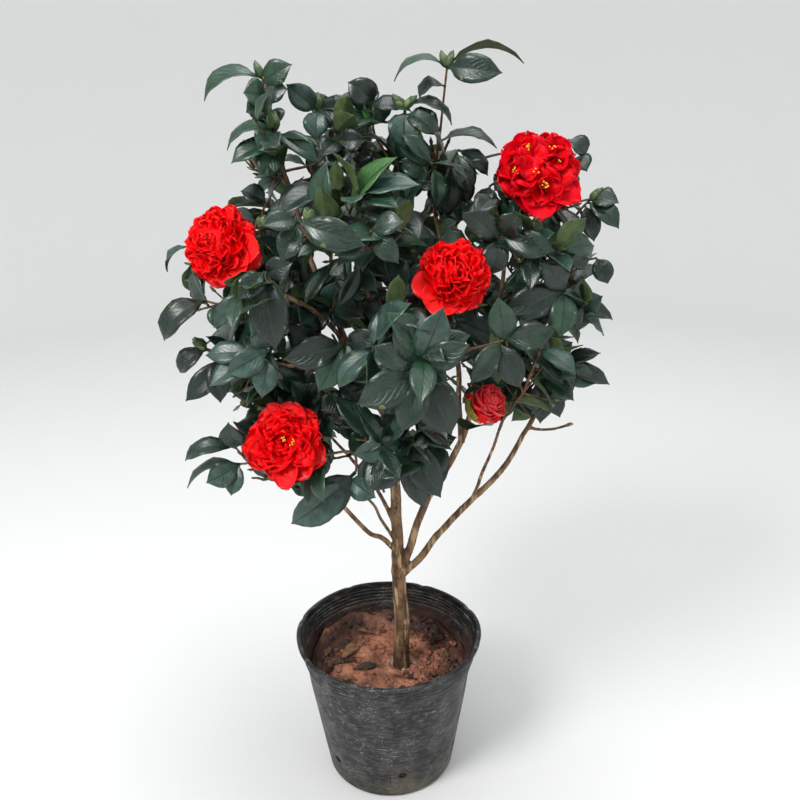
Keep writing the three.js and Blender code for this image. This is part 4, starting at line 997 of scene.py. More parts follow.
def grow_shoots(plants):
    """Adds the shoots that show one by one, each joined to the nearest twig of its mass."""
    for k, (name, depth, line, leaves, buds) in enumerate(SHOOTS):
        plant = next(plant for plant in plants if plant["mass"]["name"] == name)
        draw = seeded(SEEDS["shoot"] + SEEDS["shoot_step"] * k)
        places = [at_pixel(u, v, depth) for u, v in line]
        start = on_twigs(plant, places[0])
        points = smooth_line([start] + places, PLACED["steps"] * len(line))
        add_placed_twig(plant, points, [at_pixel(u, v, depth) for u, v in buds])
        fine = finer_line(points, CUT_STEP)
        for u, v, tip_u, tip_v, arch, front, wide in leaves:
            seen = at_pixel(u, v, depth)
            root = nearest(fine, seen)
            ahead = PLACED["ahead"] if front >= PLACED["raised"] else 0
            tip = at_pixel(tip_u, tip_v, depth - PLACED["deep"] * draw() - ahead)
            leaf = placed_leaf(root, tip, arch, front, wide)
            add_leaf(leaf, leaf_samples(leaf), plant["leaves"], SEEDS["shoot"] + k)


def nearest_mass(plants, place):
    """The mass whose centre is nearest to a place, in shares of its reach."""
    def away(plant):
        return np.linalg.norm((place - plant["space"].centre) / plant["space"].reach)

    return min(plants, key=away)


def grow_fills(plants):
    """Adds sprays that close the crown where the photograph shows no wall through it."""
    for k, (u, v, depth) in enumerate(FILLS):
        draw = seeded(SEEDS["fill"] + SEEDS["fill_step"] * k)
        place = at_pixel(u, v, depth)
        plant = nearest_mass(plants, place)
        start = on_twigs(plant, place)
        away = place - start
        middle = start + away * 0.5 + UP * drawn(FILL["sway"], draw)
        points = smooth_line([start, middle, place], FILL["steps"])
        add_placed_twig(plant, points, [])
        turn = draw() * TURN
        near = [leaf for other in plants for leaf in other["leaves"]
                if np.linalg.norm(leaf["middle"] - place) < FILL["looks"]]
        for i in range(FILL["leaves"]):
            for attempt in range(FILL["tries"]):
                angle = turn + i * 2 * math.pi / FILL["leaves"] + 0.5 * (draw() - 0.5) + 0.2 * attempt
                length = between(FILL["lengths"], draw()) * (1 - FILL["shrink_per_try"] * attempt)
                way = unit(np.array([math.cos(angle), 1.2 * (draw() - 0.5), math.sin(angle)]))
                root = points[-1 - (i + attempt) % 4]
                bend, front = drawn(FILL["bend"], draw), drawn(FILL["front"], draw)
                leaf = placed_leaf(root, root + way * length, bend, front, FILL["wide"])
                samples = leaf_samples(leaf)
                free = room_of(samples)[0]
                if in_sky(samples.reshape(-1, 3)) or near_bloom(free, EDGE):
                    continue
                if all(gap_to(other, free) > FILL["from_leaf"] for other in near):
                    add_leaf(leaf, samples, plant["leaves"], SEEDS["fill"] + k)
                    near.append(plant["leaves"][-1])
                    break


# Meshes: points in millimetres, faces of four or three corners, a material slot for each face
class Piece:
    """Gathers parts of one object before its mesh is made."""

    def __init__(self):
        self.points, self.quads, self.slots, self.marks = [], [], [], []
        self.count = 0

    def add(self, points, quads, slots, marks=None):
        """Adds quads, or triangles with their last corner twice; a point's marks are two numbers."""
        points = np.asarray(points, float).reshape(-1, 3)
        quads = np.asarray(quads, int).reshape(-1, 4)
        self.points.append(points)
        self.quads.append(quads + self.count)
        self.slots.append(np.broadcast_to(np.asarray(slots, int), (len(quads),)))
        self.marks.append(np.zeros((len(points), 2)) if marks is None else np.asarray(marks).reshape(-1, 2))
        self.count += len(points)

    def build(self, name, materials):
        points = np.vstack(self.points) * MM
        quads = np.vstack(self.quads)
        slots = np.concatenate(self.slots)
        marks = np.vstack(self.marks)
        triangle = quads[:, 3] == quads[:, 2]
        sizes = np.where(triangle, 3, 4)
        keep = np.ones(quads.shape, bool)
        keep[:, 3] = ~triangle
        corners = quads[keep]
        mesh = bpy.data.meshes.new(name)
        mesh.vertices.add(len(points))
        mesh.vertices.foreach_set("co", points.ravel())
        mesh.loops.add(len(corners))
        mesh.loops.foreach_set("vertex_index", corners)
        mesh.polygons.add(len(quads))
        mesh.polygons.foreach_set("loop_start", np.concatenate([[0], np.cumsum(sizes)[:-1]]))
        for material in materials:
            mesh.materials.append(material)
        mesh.polygons.foreach_set("material_index", slots)
        mesh.polygons.foreach_set("use_smooth", np.ones(len(quads), bool))
        layer = mesh.uv_layers.new(name="surface")
        layer.data.foreach_set("uv", marks[corners].ravel())
        mesh.update(calc_edges=True)
        mesh.validate()
        thing = bpy.data.objects.new(name, mesh)
        bpy.context.scene.collection.objects.link(thing)
        return thing


def ring_quads(rings, sides):
    """Quads between rings of points that follow each other."""
    i, j = np.meshgrid(np.arange(rings - 1), np.arange(sides), indexing="ij")
    after = (j + 1) % sides
    low, high = i * sides, (i + 1) * sides
    return np.stack([low + j, low + after, high + after, high + j], -1).reshape(-1, 4)


def fan_quads(first, sides, centre, turned):
    """Triangles from a ring to a point, each with its last corner written twice."""
    j = np.arange(sides)
    a, b = first + j, first + (j + 1) % sides
    if turned:
        a, b = b, a
    c = np.full(sides, centre)
    return np.stack([a, b, c, c], -1)


def closed_quads(rings, sides):
    """Quads between rings, and fans from the first and the last to the two points that follow all rings."""
    count = rings * sides
    return np.vstack([ring_quads(rings, sides), fan_quads(0, sides, count, True),
                      fan_quads(count - sides, sides, count + 1, False)])


def sheet_quads(rows, lanes):
    """Faces of a closed thin sheet: rings that run over its upper side and back along its lower side."""
    sides = 2 * lanes
    caps = np.array([[j, j + 1, sides - 2 - j, sides - 1 - j] for j in range(lanes - 1)])
    last = (rows - 1) * sides
    return np.vstack([ring_quads(rows, sides)[:, ::-1], caps, caps[:, ::-1] + last])


def line_frames(points):
    """Two directions square to a line at each point, carried along it without twist."""
    along = directions(points)
    first = [any_side(along[0])]
    for way in along[1:]:
        first.append(square_to(way, first[-1]))
    first = np.array(first)
    return first, np.cross(along, first)


def tube(piece, points, radii, sides, slot, bumps=None):
    """A closed tube along a line; its mark is the share round it and the distance along it."""
    first, second = line_frames(points)
    turn = np.arange(sides) * 2 * math.pi / sides
    radius = np.asarray(radii, float)[:, None] * (1 if bumps is None else bumps)
    ring = (first[:, None] * np.cos(turn)[None, :, None] + second[:, None] * np.sin(turn)[None, :, None])
    rings = points[:, None] + ring * np.broadcast_to(radius, (len(points), sides))[..., None]
    run = np.concatenate([[0], np.cumsum(np.linalg.norm(np.diff(points, axis=0), axis=1))])
    marks = np.stack(np.broadcast_arrays(np.arange(sides)[None] / sides, run[:, None]), -1).reshape(-1, 2)
    ends = np.array([points[0], points[-1]])
    marks = np.vstack([marks, [[0, 0], [0, run[-1]]]])
    piece.add(np.vstack([rings.reshape(-1, 3), ends]), closed_quads(len(points), sides), slot, marks)


def radii_along(radii, count):
    """Radii at even steps between those that are given."""
    return np.interp(np.linspace(0, len(radii) - 1, count), np.arange(len(radii)), radii)


def replace(thing, nodes):
    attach(thing, "root")
    if nodes:
        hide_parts(*nodes)


# Leaves: closed blades with a midrib, a fold along it and a wavy edge
BLADE_STATIONS = np.array([0, 0.09, 0.15, 0.21, 0.3, 0.41, 0.53, 0.65, 0.76, 0.86, 0.94, 1])
BLADE_LANES = np.array([-1, -0.58, -0.07, 0.07, 0.58, 1])
BLADE = {"thick": 0.5, "stalk_thick": 1.5, "fold": [0.2, 0.56], "wave": 0.9, "waves": 2.6, "twist": 0.5,
         "edge_thick": 0.35, "rib": 0.22, "calm_half": 9, "unfold": 0.1, "cup": 0.35, "other_side": 1.9,
         "least_wave": 0.4}
TONES = ["leaf_dark", "leaf_deep", "leaf_middle", "leaf_grey", "leaf_fresh"]
TONE_SHARES = [0.35, 0.27, 0.2, 0.16, 0.02]
UNDERSIDE, MIDRIB = len(TONES), len(TONES) + 1


def blade_width(station):
    """Share of the full half width: a stalk, an oval that is widest below its middle, and a drawn-out tip."""
    share = np.clip((station - STALK["end"]) / (1 - STALK["end"]), 0, 1)
    power = 0.58 + 0.85 * share ** 3.2
    oval = np.maximum(np.sin(math.pi * share ** 0.9), 0) ** power
    tip = STALK["width"] * (1 - share) * 0.7
    return np.maximum(oval, np.where(station <= STALK["end"], STALK["width"], tip))


def blades(piece, leaves, tones, draw):
    """Adds leaves to a piece; each tone is the material slot of a leaf's upper side."""
    count = len(leaves)
    root, way, up, side = (np.array([leaf[key] for leaf in leaves]) for key in ("root", "way", "up", "side"))
    length, width, bend = (np.array([leaf[key] for leaf in leaves]) for key in ("length", "width", "bend"))
    chance = np.array([[draw() for _ in range(6)] for _ in leaves])
    station = BLADE_STATIONS[None]
    angle = bend[:, None] * station
    along = length[:, None] * np.sin(angle) / bend[:, None]
    drop = length[:, None] * (1 - np.cos(angle)) / bend[:, None]
    spine = root[:, None] + along[..., None] * way[:, None] - drop[..., None] * up[:, None]
    normal = np.cos(angle)[..., None] * up[:, None] + np.sin(angle)[..., None] * way[:, None]
    # A leaf turns a little on its own axis towards its tip
    roll = ((chance[:, 0] - 0.5) * BLADE["twist"])[:, None] * station ** 1.5
    aside = side[:, None] * np.cos(roll)[..., None] + normal * np.sin(roll)[..., None]
    normal = normal * np.cos(roll)[..., None] - side[:, None] * np.sin(roll)[..., None]
    half = width[:, None] * blade_width(BLADE_STATIONS)[None]
    blade_part = np.clip((station - STALK["end"]) / BLADE["unfold"], 0, 1)
    fold = between(BLADE["fold"], chance[:, 1])[:, None, None]
    lane = BLADE_LANES[None, None]
    reach = np.abs(lane)
    lift = fold * half[..., None] * (reach - BLADE["cup"] * reach ** 3) * blade_part[..., None]
    sway = BLADE["wave"] * (BLADE["least_wave"] + chance[:, 2])[:, None, None] * reach ** 2.5
    sway = sway * blade_part[..., None]
    phase = chance[:, 3][:, None, None] * TURN + np.where(lane < 0, BLADE["other_side"], 0)
    ripple = np.sin(BLADE["waves"] * 2 * math.pi * station[..., None] + phase)
    lift = lift + sway * ripple * np.minimum(half[..., None] / BLADE["calm_half"], 1)
    thick = between([BLADE["thick"], BLADE["stalk_thick"]], 1 - np.clip((station - 0.05) / 0.2, 0, 1))
    thick = thick[..., None] * (1 - (1 - BLADE["edge_thick"]) * reach ** 2 * blade_part[..., None])
    rib = BLADE["rib"] * (reach < 0.1) * blade_part[..., None]
    flat = spine[:, :, None] + aside[:, :, None] * (half[..., None] * lane)[..., None]
    upper = flat + normal[:, :, None] * (lift + thick / 2 - rib)[..., None]
    lower = flat + normal[:, :, None] * (lift - thick / 2 - rib * 2)[..., None]
    rings = np.concatenate([upper, lower[:, :, ::-1]], axis=2)
    stations, lanes = len(BLADE_STATIONS), len(BLADE_LANES)
    sides = 2 * lanes
    per_leaf = stations * sides
    strip = np.tile(np.arange(sides), stations - 1)
    middle = lanes // 2 - 1
    kind = np.full(len(strip), UNDERSIDE)
    kind[strip < lanes - 1] = -1
    kind[strip == middle] = MIDRIB
    kind = np.concatenate([kind, np.full(2 * (lanes - 1), UNDERSIDE)])
    stalk = np.repeat(np.arange(stations - 1) < 2, sides)
    kind[:len(strip)][stalk] = MIDRIB
    slots = np.where(kind[None] < 0, np.asarray(tones)[:, None], kind[None])
    quads = sheet_quads(stations, lanes)[None] + (np.arange(count) * per_leaf)[:, None, None]
    across = np.concatenate([BLADE_LANES, BLADE_LANES[::-1]]) * 0.5 + 0.5
    marks = np.stack(np.broadcast_arrays(across[None], BLADE_STATIONS[:, None]), -1)
    marks = np.broadcast_to(marks[None], (count,) + marks.shape)
    piece.add(rings, quads, slots.ravel(), marks)


def onto_lines(leaves, lines):
    """Moves each leaf so that its stalk starts on the smoothed twig."""
    places = np.vstack(lines)
    for leaf in leaves:
        foot = leaf["root"] + leaf["way"] * LEAF["sunk"]
        leaf["root"] = leaf["root"] + nearest(places, foot) - foot


TWIG_STEP = 3
TWIG_SIDES = 7
# How far a mass's first twig starts inside its bough, and how much a twig swells at its knots
INTO_BOUGH = 2.5
SWELL = 0.16
# Share of leaves whose tone isn't their spray's
OTHER_TONE = 0.42


def dress_mass(plant, paints):
    """Twigs and leaves of one mass as two pieces, which stand for its solid."""
    mass = plant["mass"]
    draw = seeded(mass["seed"] * SEEDS["dress"] + 5)
    wood, lines = Piece(), []
    for k, twig in enumerate(plant["twigs"]):
        points = twig["points"]
        if k == 0:
            points = np.vstack([points[0] - directions(points)[0] * INTO_BOUGH, points])
            radii = np.concatenate([twig["radii"][:1], twig["radii"]])
        else:
            radii = twig["radii"]
        fine = finer_line(points, TWIG_STEP)
        radius = radii_along(radii, len(fine)) * (1 if k == 0 else TWIG_SLIM)
        knots = 1 + SWELL * np.sin(np.arange(len(fine)) * 1.7 + draw() * 6) ** 6
        tube(wood, fine, radius * knots, TWIG_SIDES, 0)
        lines.append(fine)
    onto_lines(plant["leaves"], lines)
    foliage = Piece()
    sprays = {}
    tones = []
    for leaf in plant["leaves"]:
        if leaf["spray"] not in sprays:
            sprays[leaf["spray"]] = draw()
        pick = sprays[leaf["spray"]]
        if draw() < OTHER_TONE:
            pick = draw()
        tones.append(min(int(np.searchsorted(np.cumsum(TONE_SHARES), pick)), len(TONES) - 1))
    blades(foliage, plant["leaves"], tones, draw)
    shoots = wood.build("twigs_" + mass["name"], [paints["twig"]])
    leaves = foliage.build("leaves_" + mass["name"], [paints[tone] for tone in TONES]
                           + [paints["leaf_under"], paints["leaf_midrib"]])
    replace(leaves, [mass["name"]])
    replace(shoots, [mass["name"]])


# Blossom
PETAL_ROWS, PETAL_LANES = 9, 9
PETAL_THICK = 0.3
# Rows close up at a petal's rounded end, and lanes at its edges
PETAL_SHARES = np.sin(np.linspace(0, 1, PETAL_ROWS) * math.pi / 2)[:, None]
PETAL_SIDES = np.sin(np.linspace(-1, 1, PETAL_LANES) * math.pi / 2)[None]
# Whorls of petals in shares of the bloom's radius, with pairs that run from the outermost petal to the
# innermost; then single petals, and tufts of anthers by their place on the face
POMPON = {"count": 150, "open": [1.5, 0.02], "length": [0.93, 0.87], "half": [0.26, 0.2], "ruffle": 0.085,
          "waves": 2.4, "hollow": 0.3, "turned": 1.7, "curl": [0.3, 0.1, 0.7], "core": 0.74}
BACK_RING = {"count": 8, "open": [1.6, 1.45], "length": [0.92, 0.9], "half": [0.42, 0.4], "ruffle": 0.08,
             "waves": 1.5, "hollow": 0.3, "turned": 0.2, "curl": [0.3, -0.4, 0.3]}
LOOSE = {"count": 7, "open": [1.35, 0.5], "length": [0.58, 0.46], "half": [0.34, 0.24], "ruffle": 0.14,
         "waves": 1.6, "hollow": 0.6, "turned": 1.3, "curl": [0.3, -0.7, 0.9]}
BLOOM_STYLES = {
    "upper_right_foliage": {
        "whorls": [{**BACK_RING, "open": [1.5, 1.35], "length": [1.06, 0.96], "half": [0.52, 0.44],
                    "ruffle": 0.15, "waves": 1.9},
                   {**BACK_RING, "count": 9, "open": [1.2, 1.0], "length": [0.94, 0.86], "half": [0.42, 0.34],
                    "ruffle": 0.16, "waves": 1.9, "slot": 0},
                   {**LOOSE, "at": [-0.26, 0.44, 0.2]}, {**LOOSE, "at": [0.34, 0.42, 0.2]},
                   {**LOOSE, "at": [-0.5, -0.06, 0.2]}, {**LOOSE, "at": [0.04, -0.36, 0.22]},
                   {**LOOSE, "at": [0.42, -0.06, 0.22]}],
        "single": [[-1.75, 1.2, 0.46, 0.13], [-0.7, 1.18, 0.42, 0.13], [2.6, 1.08, 0.42, 0.13]],
        "tufts": [[-0.28, 0.52, 7], [0.28, 0.54, 4], [0.44, 0.16, 2], [-0.64, 0.0, 6], [-0.02, -0.36, 8],
                  [-0.2, -0.04, 3]], "scale": 1.06, "moved": [-5, 0, 1], "tint": "crimson_"},
    "left_foliage": {
        "whorls": [BACK_RING, {**POMPON, "at": [-0.08, 0.07, 0]}],
        "single": [[-0.85, 1.12, 0.5, 0.05], [-0.1, 1.14, 0.4, 0.06], [-1.75, 0.9, 0.36, 0.06]], "tufts": [],
        # Lighter petal colours here are painted light, to brighten a bloom that sits in shade
        "scale": 1.08, "tint": "extra_lit_", "moved": [4, 0, 3], "face": [-0.3, -0.88, 0.36]},
    "lower_left_foliage": {
        "whorls": [{**BACK_RING, "count": 10, "open": [1.55, 1.3], "length": [1.04, 0.96], "ruffle": 0.15,
                    "waves": 2.2},
                   {**LOOSE, "count": 46, "open": [1.4, 0.3], "length": [1.0, 0.4], "half": [0.42, 0.18],
                    "ruffle": 0.14, "waves": 2.3, "turned": 0.9, "curl": [0.5, -0.6, 0.6]}],
        "single": [[-1.5, 1.18, 0.3, 0.13]], "tufts": [[0.0, 0.02, 6], [0.22, -0.04, 5]]},
    "front_foliage": {
        "whorls": [BACK_RING, {**POMPON, "at": [0.06, 0.07, 0]}],
        "single": [[-2.15, 1.12, 0.48, 0.06], [-2.85, 1.1, 0.38, 0.06], [-1.5, 0.94, 0.38, 0.07]],
        # Lighter petal colours here are painted light, to brighten a bloom that sits in shade
        "tufts": [], "scale": 1.05, "tint": "extra_lit_", "moved": [1, 0, 1]},
    "right_inner_foliage": {
        "whorls": [{"count": 5, "open": [1.1, 1.0], "length": [1.5, 1.45], "half": [0.66, 0.6],
                    "ruffle": 0.04, "waves": 1.2, "hollow": 1.2, "turned": 0.15, "curl": [1.6, 0.1, 0.1],
                    "slot": 1},
                   {**POMPON, "count": 60, "open": [1.7, 0.02], "length": [0.95, 0.92], "half": [0.46, 0.3],
                    "ruffle": 0.05, "hollow": 1.1, "turned": 0.8, "curl": [0.6, 0.6, 0.2], "at": [0, 0, 0.78],
                    "slot": 1, "core": 0.78}],
        # Its pale pink petal colours are painted light, standing for sunlight on a bloom in the shade of
        # leaves
        "tufts": [], "scale": 1.24, "tint": "sunlit_", "moved": [-3, 0, -1], "face": [0.6, -0.6, 0.52],
        "sepals": {"open": 1.35, "length": 1.25, "half": 0.6, "curl": 1.3, "back": 2.6}},
}
SEPALS = 7
# How far behind its centre a bloom's petals start, in radii
FOOT_BACK = {FULL: 0.22, OPENING: 0.8}
SINGLE = {"ahead": 0.06, "open": 1.36, "inward": 0.5, "tip_inward": -0.45, "waves": 1.7, "hollow": 0.5}
TUFT = {"height": 0.66, "radius": 3}
# Radii of the green foot of a bloom, from its twig up
BLOOM_FOOT = [2, 2.2, 2.8, 3.6, 4.4, 4.6, 3]
PETAL_ROOM, PETAL_BACK = 1.15, 0.16
SEPAL = {"open": 1.75, "length": 0.5, "half": 0.3, "curl": 0.9, "back": 1.5}
PETAL_SLOT, GUARD_SLOT, ANTHER_SLOT, FILAMENT_SLOT, SEPAL_SLOT = range(5)


def thin_sheet(piece, upper, lower, slot):
    """A closed sheet between two grids of points."""
    rows, lanes = upper.shape[:2]
    rings = np.concatenate([upper, lower[:, ::-1]], axis=1)
    across = np.concatenate([np.linspace(0, 1, lanes), np.linspace(1, 0, lanes)])
    marks = np.stack(np.broadcast_arrays(across[None], np.linspace(0, 1, rows)[:, None]), -1)
    piece.add(rings, sheet_quads(rows, lanes), slot, marks)


def petal(piece, foot, way, face, size, shape, slot, draw):
    """A petal that leaves its foot along "way" with its inner side towards "face"."""
    length, half = size
    share, lane = PETAL_SHARES, PETAL_SIDES
    side = np.cross(face, way)
    angle = shape["inward"] * share + shape["tip_inward"] * share ** 3
    middle = (angle[1:] + angle[:-1]) / 2
    step = length * np.diff(share, axis=0)
    along = np.concatenate([[[0.0]], np.cumsum(np.cos(middle) * step, axis=0)])
    inward = np.concatenate([[[0.0]], np.cumsum(np.sin(middle) * step, axis=0)])
    spread = np.minimum(share / 0.55, 1)
    ended = np.clip((share - 0.6) / 0.4, 0, 1)
    rounded = np.sqrt(np.maximum(1 - ended ** 2.4, 0.002))
    wide = half * ((0.3 + 0.7 * spread * spread * (3 - 2 * spread)) * rounded)
    edge = np.abs(lane)
    phase = draw() * TURN
    wave = np.sin(shape["waves"] * math.pi * lane + phase) * edge ** 0.6
    wave = wave + 0.5 * np.sin(shape["waves"] * 2.3 * math.pi * lane + phase * 1.7 + 3 * share)
    # The waves die out where the rounded end narrows, so that no corner of it stands up
    lift = shape["ruffle"] * share ** 1.6 * wave * rounded + shape["hollow"] * wide * (lane ** 2) * 0.5
    frill = shape["ruffle"] * 0.45 * share ** 5 * np.sin(shape["waves"] * 3.1 * math.pi * lane + phase * 2.3)
    normal = face * np.cos(angle)[..., None] - way * np.sin(angle)[..., None]
    onward = way * np.cos(angle)[..., None] + face * np.sin(angle)[..., None]
    flat = foot + way * along[..., None] + face * inward[..., None] + side * (wide * lane)[..., None]
    flat = flat + onward * frill[..., None]
    thick = PETAL_THICK * (1.5 - share) * (1 - 0.5 * edge ** 2)
    upper, lower = (flat + normal * level[..., None] for level in (lift + thick / 2, lift - thick / 2))
    thin_sheet(piece, upper, lower, slot)


def bloom_frame(face):
    """Across and up on the bloom's face, as seen from its front."""
    across = unit(np.cross(UP, face))
    return across, np.cross(face, across)


def anther_tuft(piece, centre, face, count, radius, draw):
    across, above = bloom_frame(face)
    for _ in range(count):
        turn, far = draw() * TURN, radius * draw() ** 0.5
        aside = across * math.cos(turn) + above * math.sin(turn)
        top = centre + aside * far + face * (draw() - 0.3) * 2
        foot = centre - face * 8 + aside * far * 0.3
        middle = (top + foot) / 2 + aside * 0.6
        tube(piece, smooth_line([foot, middle, top], 4), [0.22] * 5, 4, FILAMENT_SLOT)
        tilt = unit(face + aside * 0.6)
        ball = np.array([top - tilt * 0.7, top - tilt * 0.3, top + tilt * 0.4, top + tilt * 0.9])
        tube(piece, ball, [0.3, 0.75, 0.75, 0.3], 5, ANTHER_SLOT)


def turned_petal(piece, foot, axis, frame, turn, opening, twist, size, shape, slot, draw):
    """A petal that leaves its foot at an opening from the axis, at a turn round it."""
    radial = frame[0] * math.cos(turn) + frame[1] * math.sin(turn)
    way = axis * math.cos(opening) + radial * math.sin(opening)
    inner = axis * math.sin(opening) - radial * math.cos(opening)
    inner = inner * math.cos(twist) + np.cross(way, inner) * math.sin(twist)
    petal(piece, foot, way, inner, size, shape, slot, draw)


def whorl(piece, form, foot, axis, frame, radius, draw):
    """Petals from the outside of a whorl to its middle, spread evenly over a dome."""
    across, above, forward = form.get("at", [0, 0, 0])
    start = foot + (frame[0] * across + frame[1] * above + axis * forward) * radius
    tilted = unit(axis + 0.55 * (frame[0] * across + frame[1] * above))
    around = bloom_frame(tilted)
    first = draw() * TURN
    if "core" in form:
        clod(piece, start, form["core"] * radius, draw)
    for k in range(form["count"]):
        share = (k + 0.5) / form["count"]
        widest, narrowest = form["open"]
        opening = math.acos(between([math.cos(widest), math.cos(narrowest)], share)) + 0.12 * (draw() - 0.5)
        turn = first + k * GOLDEN_ANGLE + 0.3 * (draw() - 0.5)
        inward, at_tip, chance = form["curl"]
        shape = {"inward": inward, "tip_inward": at_tip + chance * (draw() - 0.5), "hollow": form["hollow"],
                 "ruffle": form["ruffle"] * radius, "waves": form["waves"] * (0.8 + 0.4 * draw())}
        length = radius * between(form["length"], share) * (0.9 + 0.16 * draw())
        size = (length, radius * between(form["half"], share))
        slot = form.get("slot", GUARD_SLOT if widest > 1.5 and form["count"] < 12 else PETAL_SLOT)
        twist = form["turned"] * (draw() - 0.5)
        turned_petal(piece, start, tilted, around, turn, opening, twist, size, shape, slot, draw)


def bloom_place(bloom):
    """Centre, face and radius of a bloom as it is dressed."""
    style = BLOOM_STYLES[bloom["mass"]]
    at = bloom["at"] + np.array(style.get("moved", [0, 0, 0]))
    face = unit(np.array(style.get("face", bloom["face"]), float))
    return at, face, bloom["radius"] * style.get("scale", 1)


def in_petals(places):
    """Whether a place is among the petals of a bloom."""
    for bloom in BLOOMS:
        at, face, radius = bloom_place(bloom)
        off = places - at
        if ((np.linalg.norm(off, axis=1) < PETAL_ROOM * radius) & (off @ face > -PETAL_BACK * radius)).any():
            return True
    return False


def blossom(piece, bloom, draw):
    """One bloom: whorls of petals, smooth outer petals that show, tufts of anthers, and the sepals."""
    style = BLOOM_STYLES[bloom["mass"]]
    at, face, radius = bloom_place(bloom)
    frame = bloom_frame(face)
    foot = at - face * radius * FOOT_BACK[bloom["kind"]]
    for form in style["whorls"]:
        whorl(piece, form, foot, face, frame, radius, draw)
    for turn, length, half, ruffle in style.get("single", []):
        shape = {**SINGLE, "ruffle": ruffle * radius}
        size = (radius * length, radius * half)
        root = foot + face * SINGLE["ahead"] * radius
        turned_petal(piece, root, face, frame, turn, SINGLE["open"], 0, size, shape, GUARD_SLOT, draw)
    for across, above, anthers in style["tufts"]:
        height = math.sqrt(max(1 - across * across - above * above, 0)) * TUFT["height"]
        top = foot + (frame[0] * across + frame[1] * above + face * height) * radius
        anther_tuft(piece, top, face, anthers, TUFT["radius"], draw)
    sepals = style.get("sepals", SEPAL)
    for k in range(SEPALS):
        shape = {"inward": sepals["curl"], "tip_inward": 0.1, "ruffle": 0.2, "waves": 1, "hollow": 0.9}
        size = (radius * sepals["length"] * (0.85 + 0.2 * draw()), radius * sepals["half"])
        root, turn = foot - face * sepals["back"], k * GOLDEN_ANGLE
        turned_petal(piece, root, face, frame, turn, sepals["open"], 0, size, shape, SEPAL_SLOT, draw)
    back = bloom["at"] - bloom["face"] * (BLOOM_BEHIND + 0.06) * bloom["radius"]
    tube(piece, smooth_line([back, foot - face, foot + face * 2], 6), BLOOM_FOOT, 10, SEPAL_SLOT)


# Buds: a plump body wrapped in scales that overlap
BUD = {"rings": 9, "sides": 12, "radius": 4.7, "length": 15.5, "scales": 9, "rows": 7, "lanes": 7,
       "layer": 0.16}
LEAF_BUD = {"rings": 6, "sides": 7, "radius": 1.2, "length": 8, "scales": 3, "rows": 4, "lanes": 4,
            "layer": 0.1}


def bud_radius(share):
    return math.sin(math.pi * min(max(share, 0) ** 0.72, 1)) ** 0.75


def bud(piece, foot, axis, form, slots, draw):
    """A bud whose scales lie on each other from its foot up."""
    first = any_side(axis)
    second = np.cross(axis, first)
    shares = np.linspace(0, 1, form["rings"])
    body = foot + np.outer(shares * form["length"] * 0.96, axis)
    body_radii = [max(form["radius"] * bud_radius(s) * 0.96, 0.15) for s in shares]
    tube(piece, body, body_radii, form["sides"], slots[0])
    for k in range(form["scales"]):
        layer = form["layer"] * (form["scales"] - k)
        turn = k * GOLDEN_ANGLE + draw() * 0.3
        top = 0.42 + 0.56 * k / (form["scales"] - 1)
        low = max(0, top - 0.6)
        rows = np.linspace(low, top, form["rows"])
        lanes = np.linspace(-1, 1, form["lanes"])
        upper, lower = [], []
        for row in rows:
            reach = (row - low) / (top - low)
            spread = 1.15 * math.sqrt(max(1 - reach ** 3.2, 0.004))
            angle = turn + lanes * spread
            ring = np.outer(np.cos(angle), first) + np.outer(np.sin(angle), second)
            radius = form["radius"] * bud_radius(row) + layer * (0.4 + 0.6 * reach)
            centre = foot + axis * row * form["length"]
            upper.append(centre + ring * (radius + 0.12))
            lower.append(centre + ring * (radius - 0.12))
        thin_sheet(piece, np.array(lower), np.array(upper), slots[1 + k % (len(slots) - 1)])


# Trunk and boughs
BARK = {"step": 4, "sides": 14, "voxel": 1.1, "into_mass": 3, "lump": 0.05, "lump_size": 26, "grain": 0.16,
        "grain_size": 2.6, "stretch": [1.6, 1.6, 0.55], "pores": 0.6, "pore_size": 7, "smooth": 2, "end": 0.9}
# A limb swells where it leaves its parent, and its bark is finer high up
FORK_SWELL = [1.25, 1.18, 1.1, 1.04]
FINER_BARK = {"from": 420, "over": 160, "most": 0.6}
BENDS = {"size": 34, "most": 2.2, "free": 5}
SIDE_TWIG_SAG = 4
KNOTS = [[168, -20, 409, 2.6, 1.0], [183, -20, 416, 2.8, 1.1], [96, -12, 340, 3.4, 1.2],
         [52, -8, 290, 3.0, 1.0], [14, -9, 222, 3.6, 1.5], [13, -7, 236, 4.5, 2.2],
         [18, -6, 176, 3.2, 1.3], [7, -4, 205, 3.0, 1.2], [16, -6, 146, 3.5, 1.0], [10, -3, 262, 4.0, 1.6],
         [12, -4, 300, 3.0, 1.2], [40, -3, 320, 2.6, 0.9], [78, -6, 322, 2.6, 0.9]]


def noise_at(points, size, seed):
    shifted = np.asarray(points) / size + seed * 17.3
    return np.array([noise.noise(Vector(place)) for place in shifted])


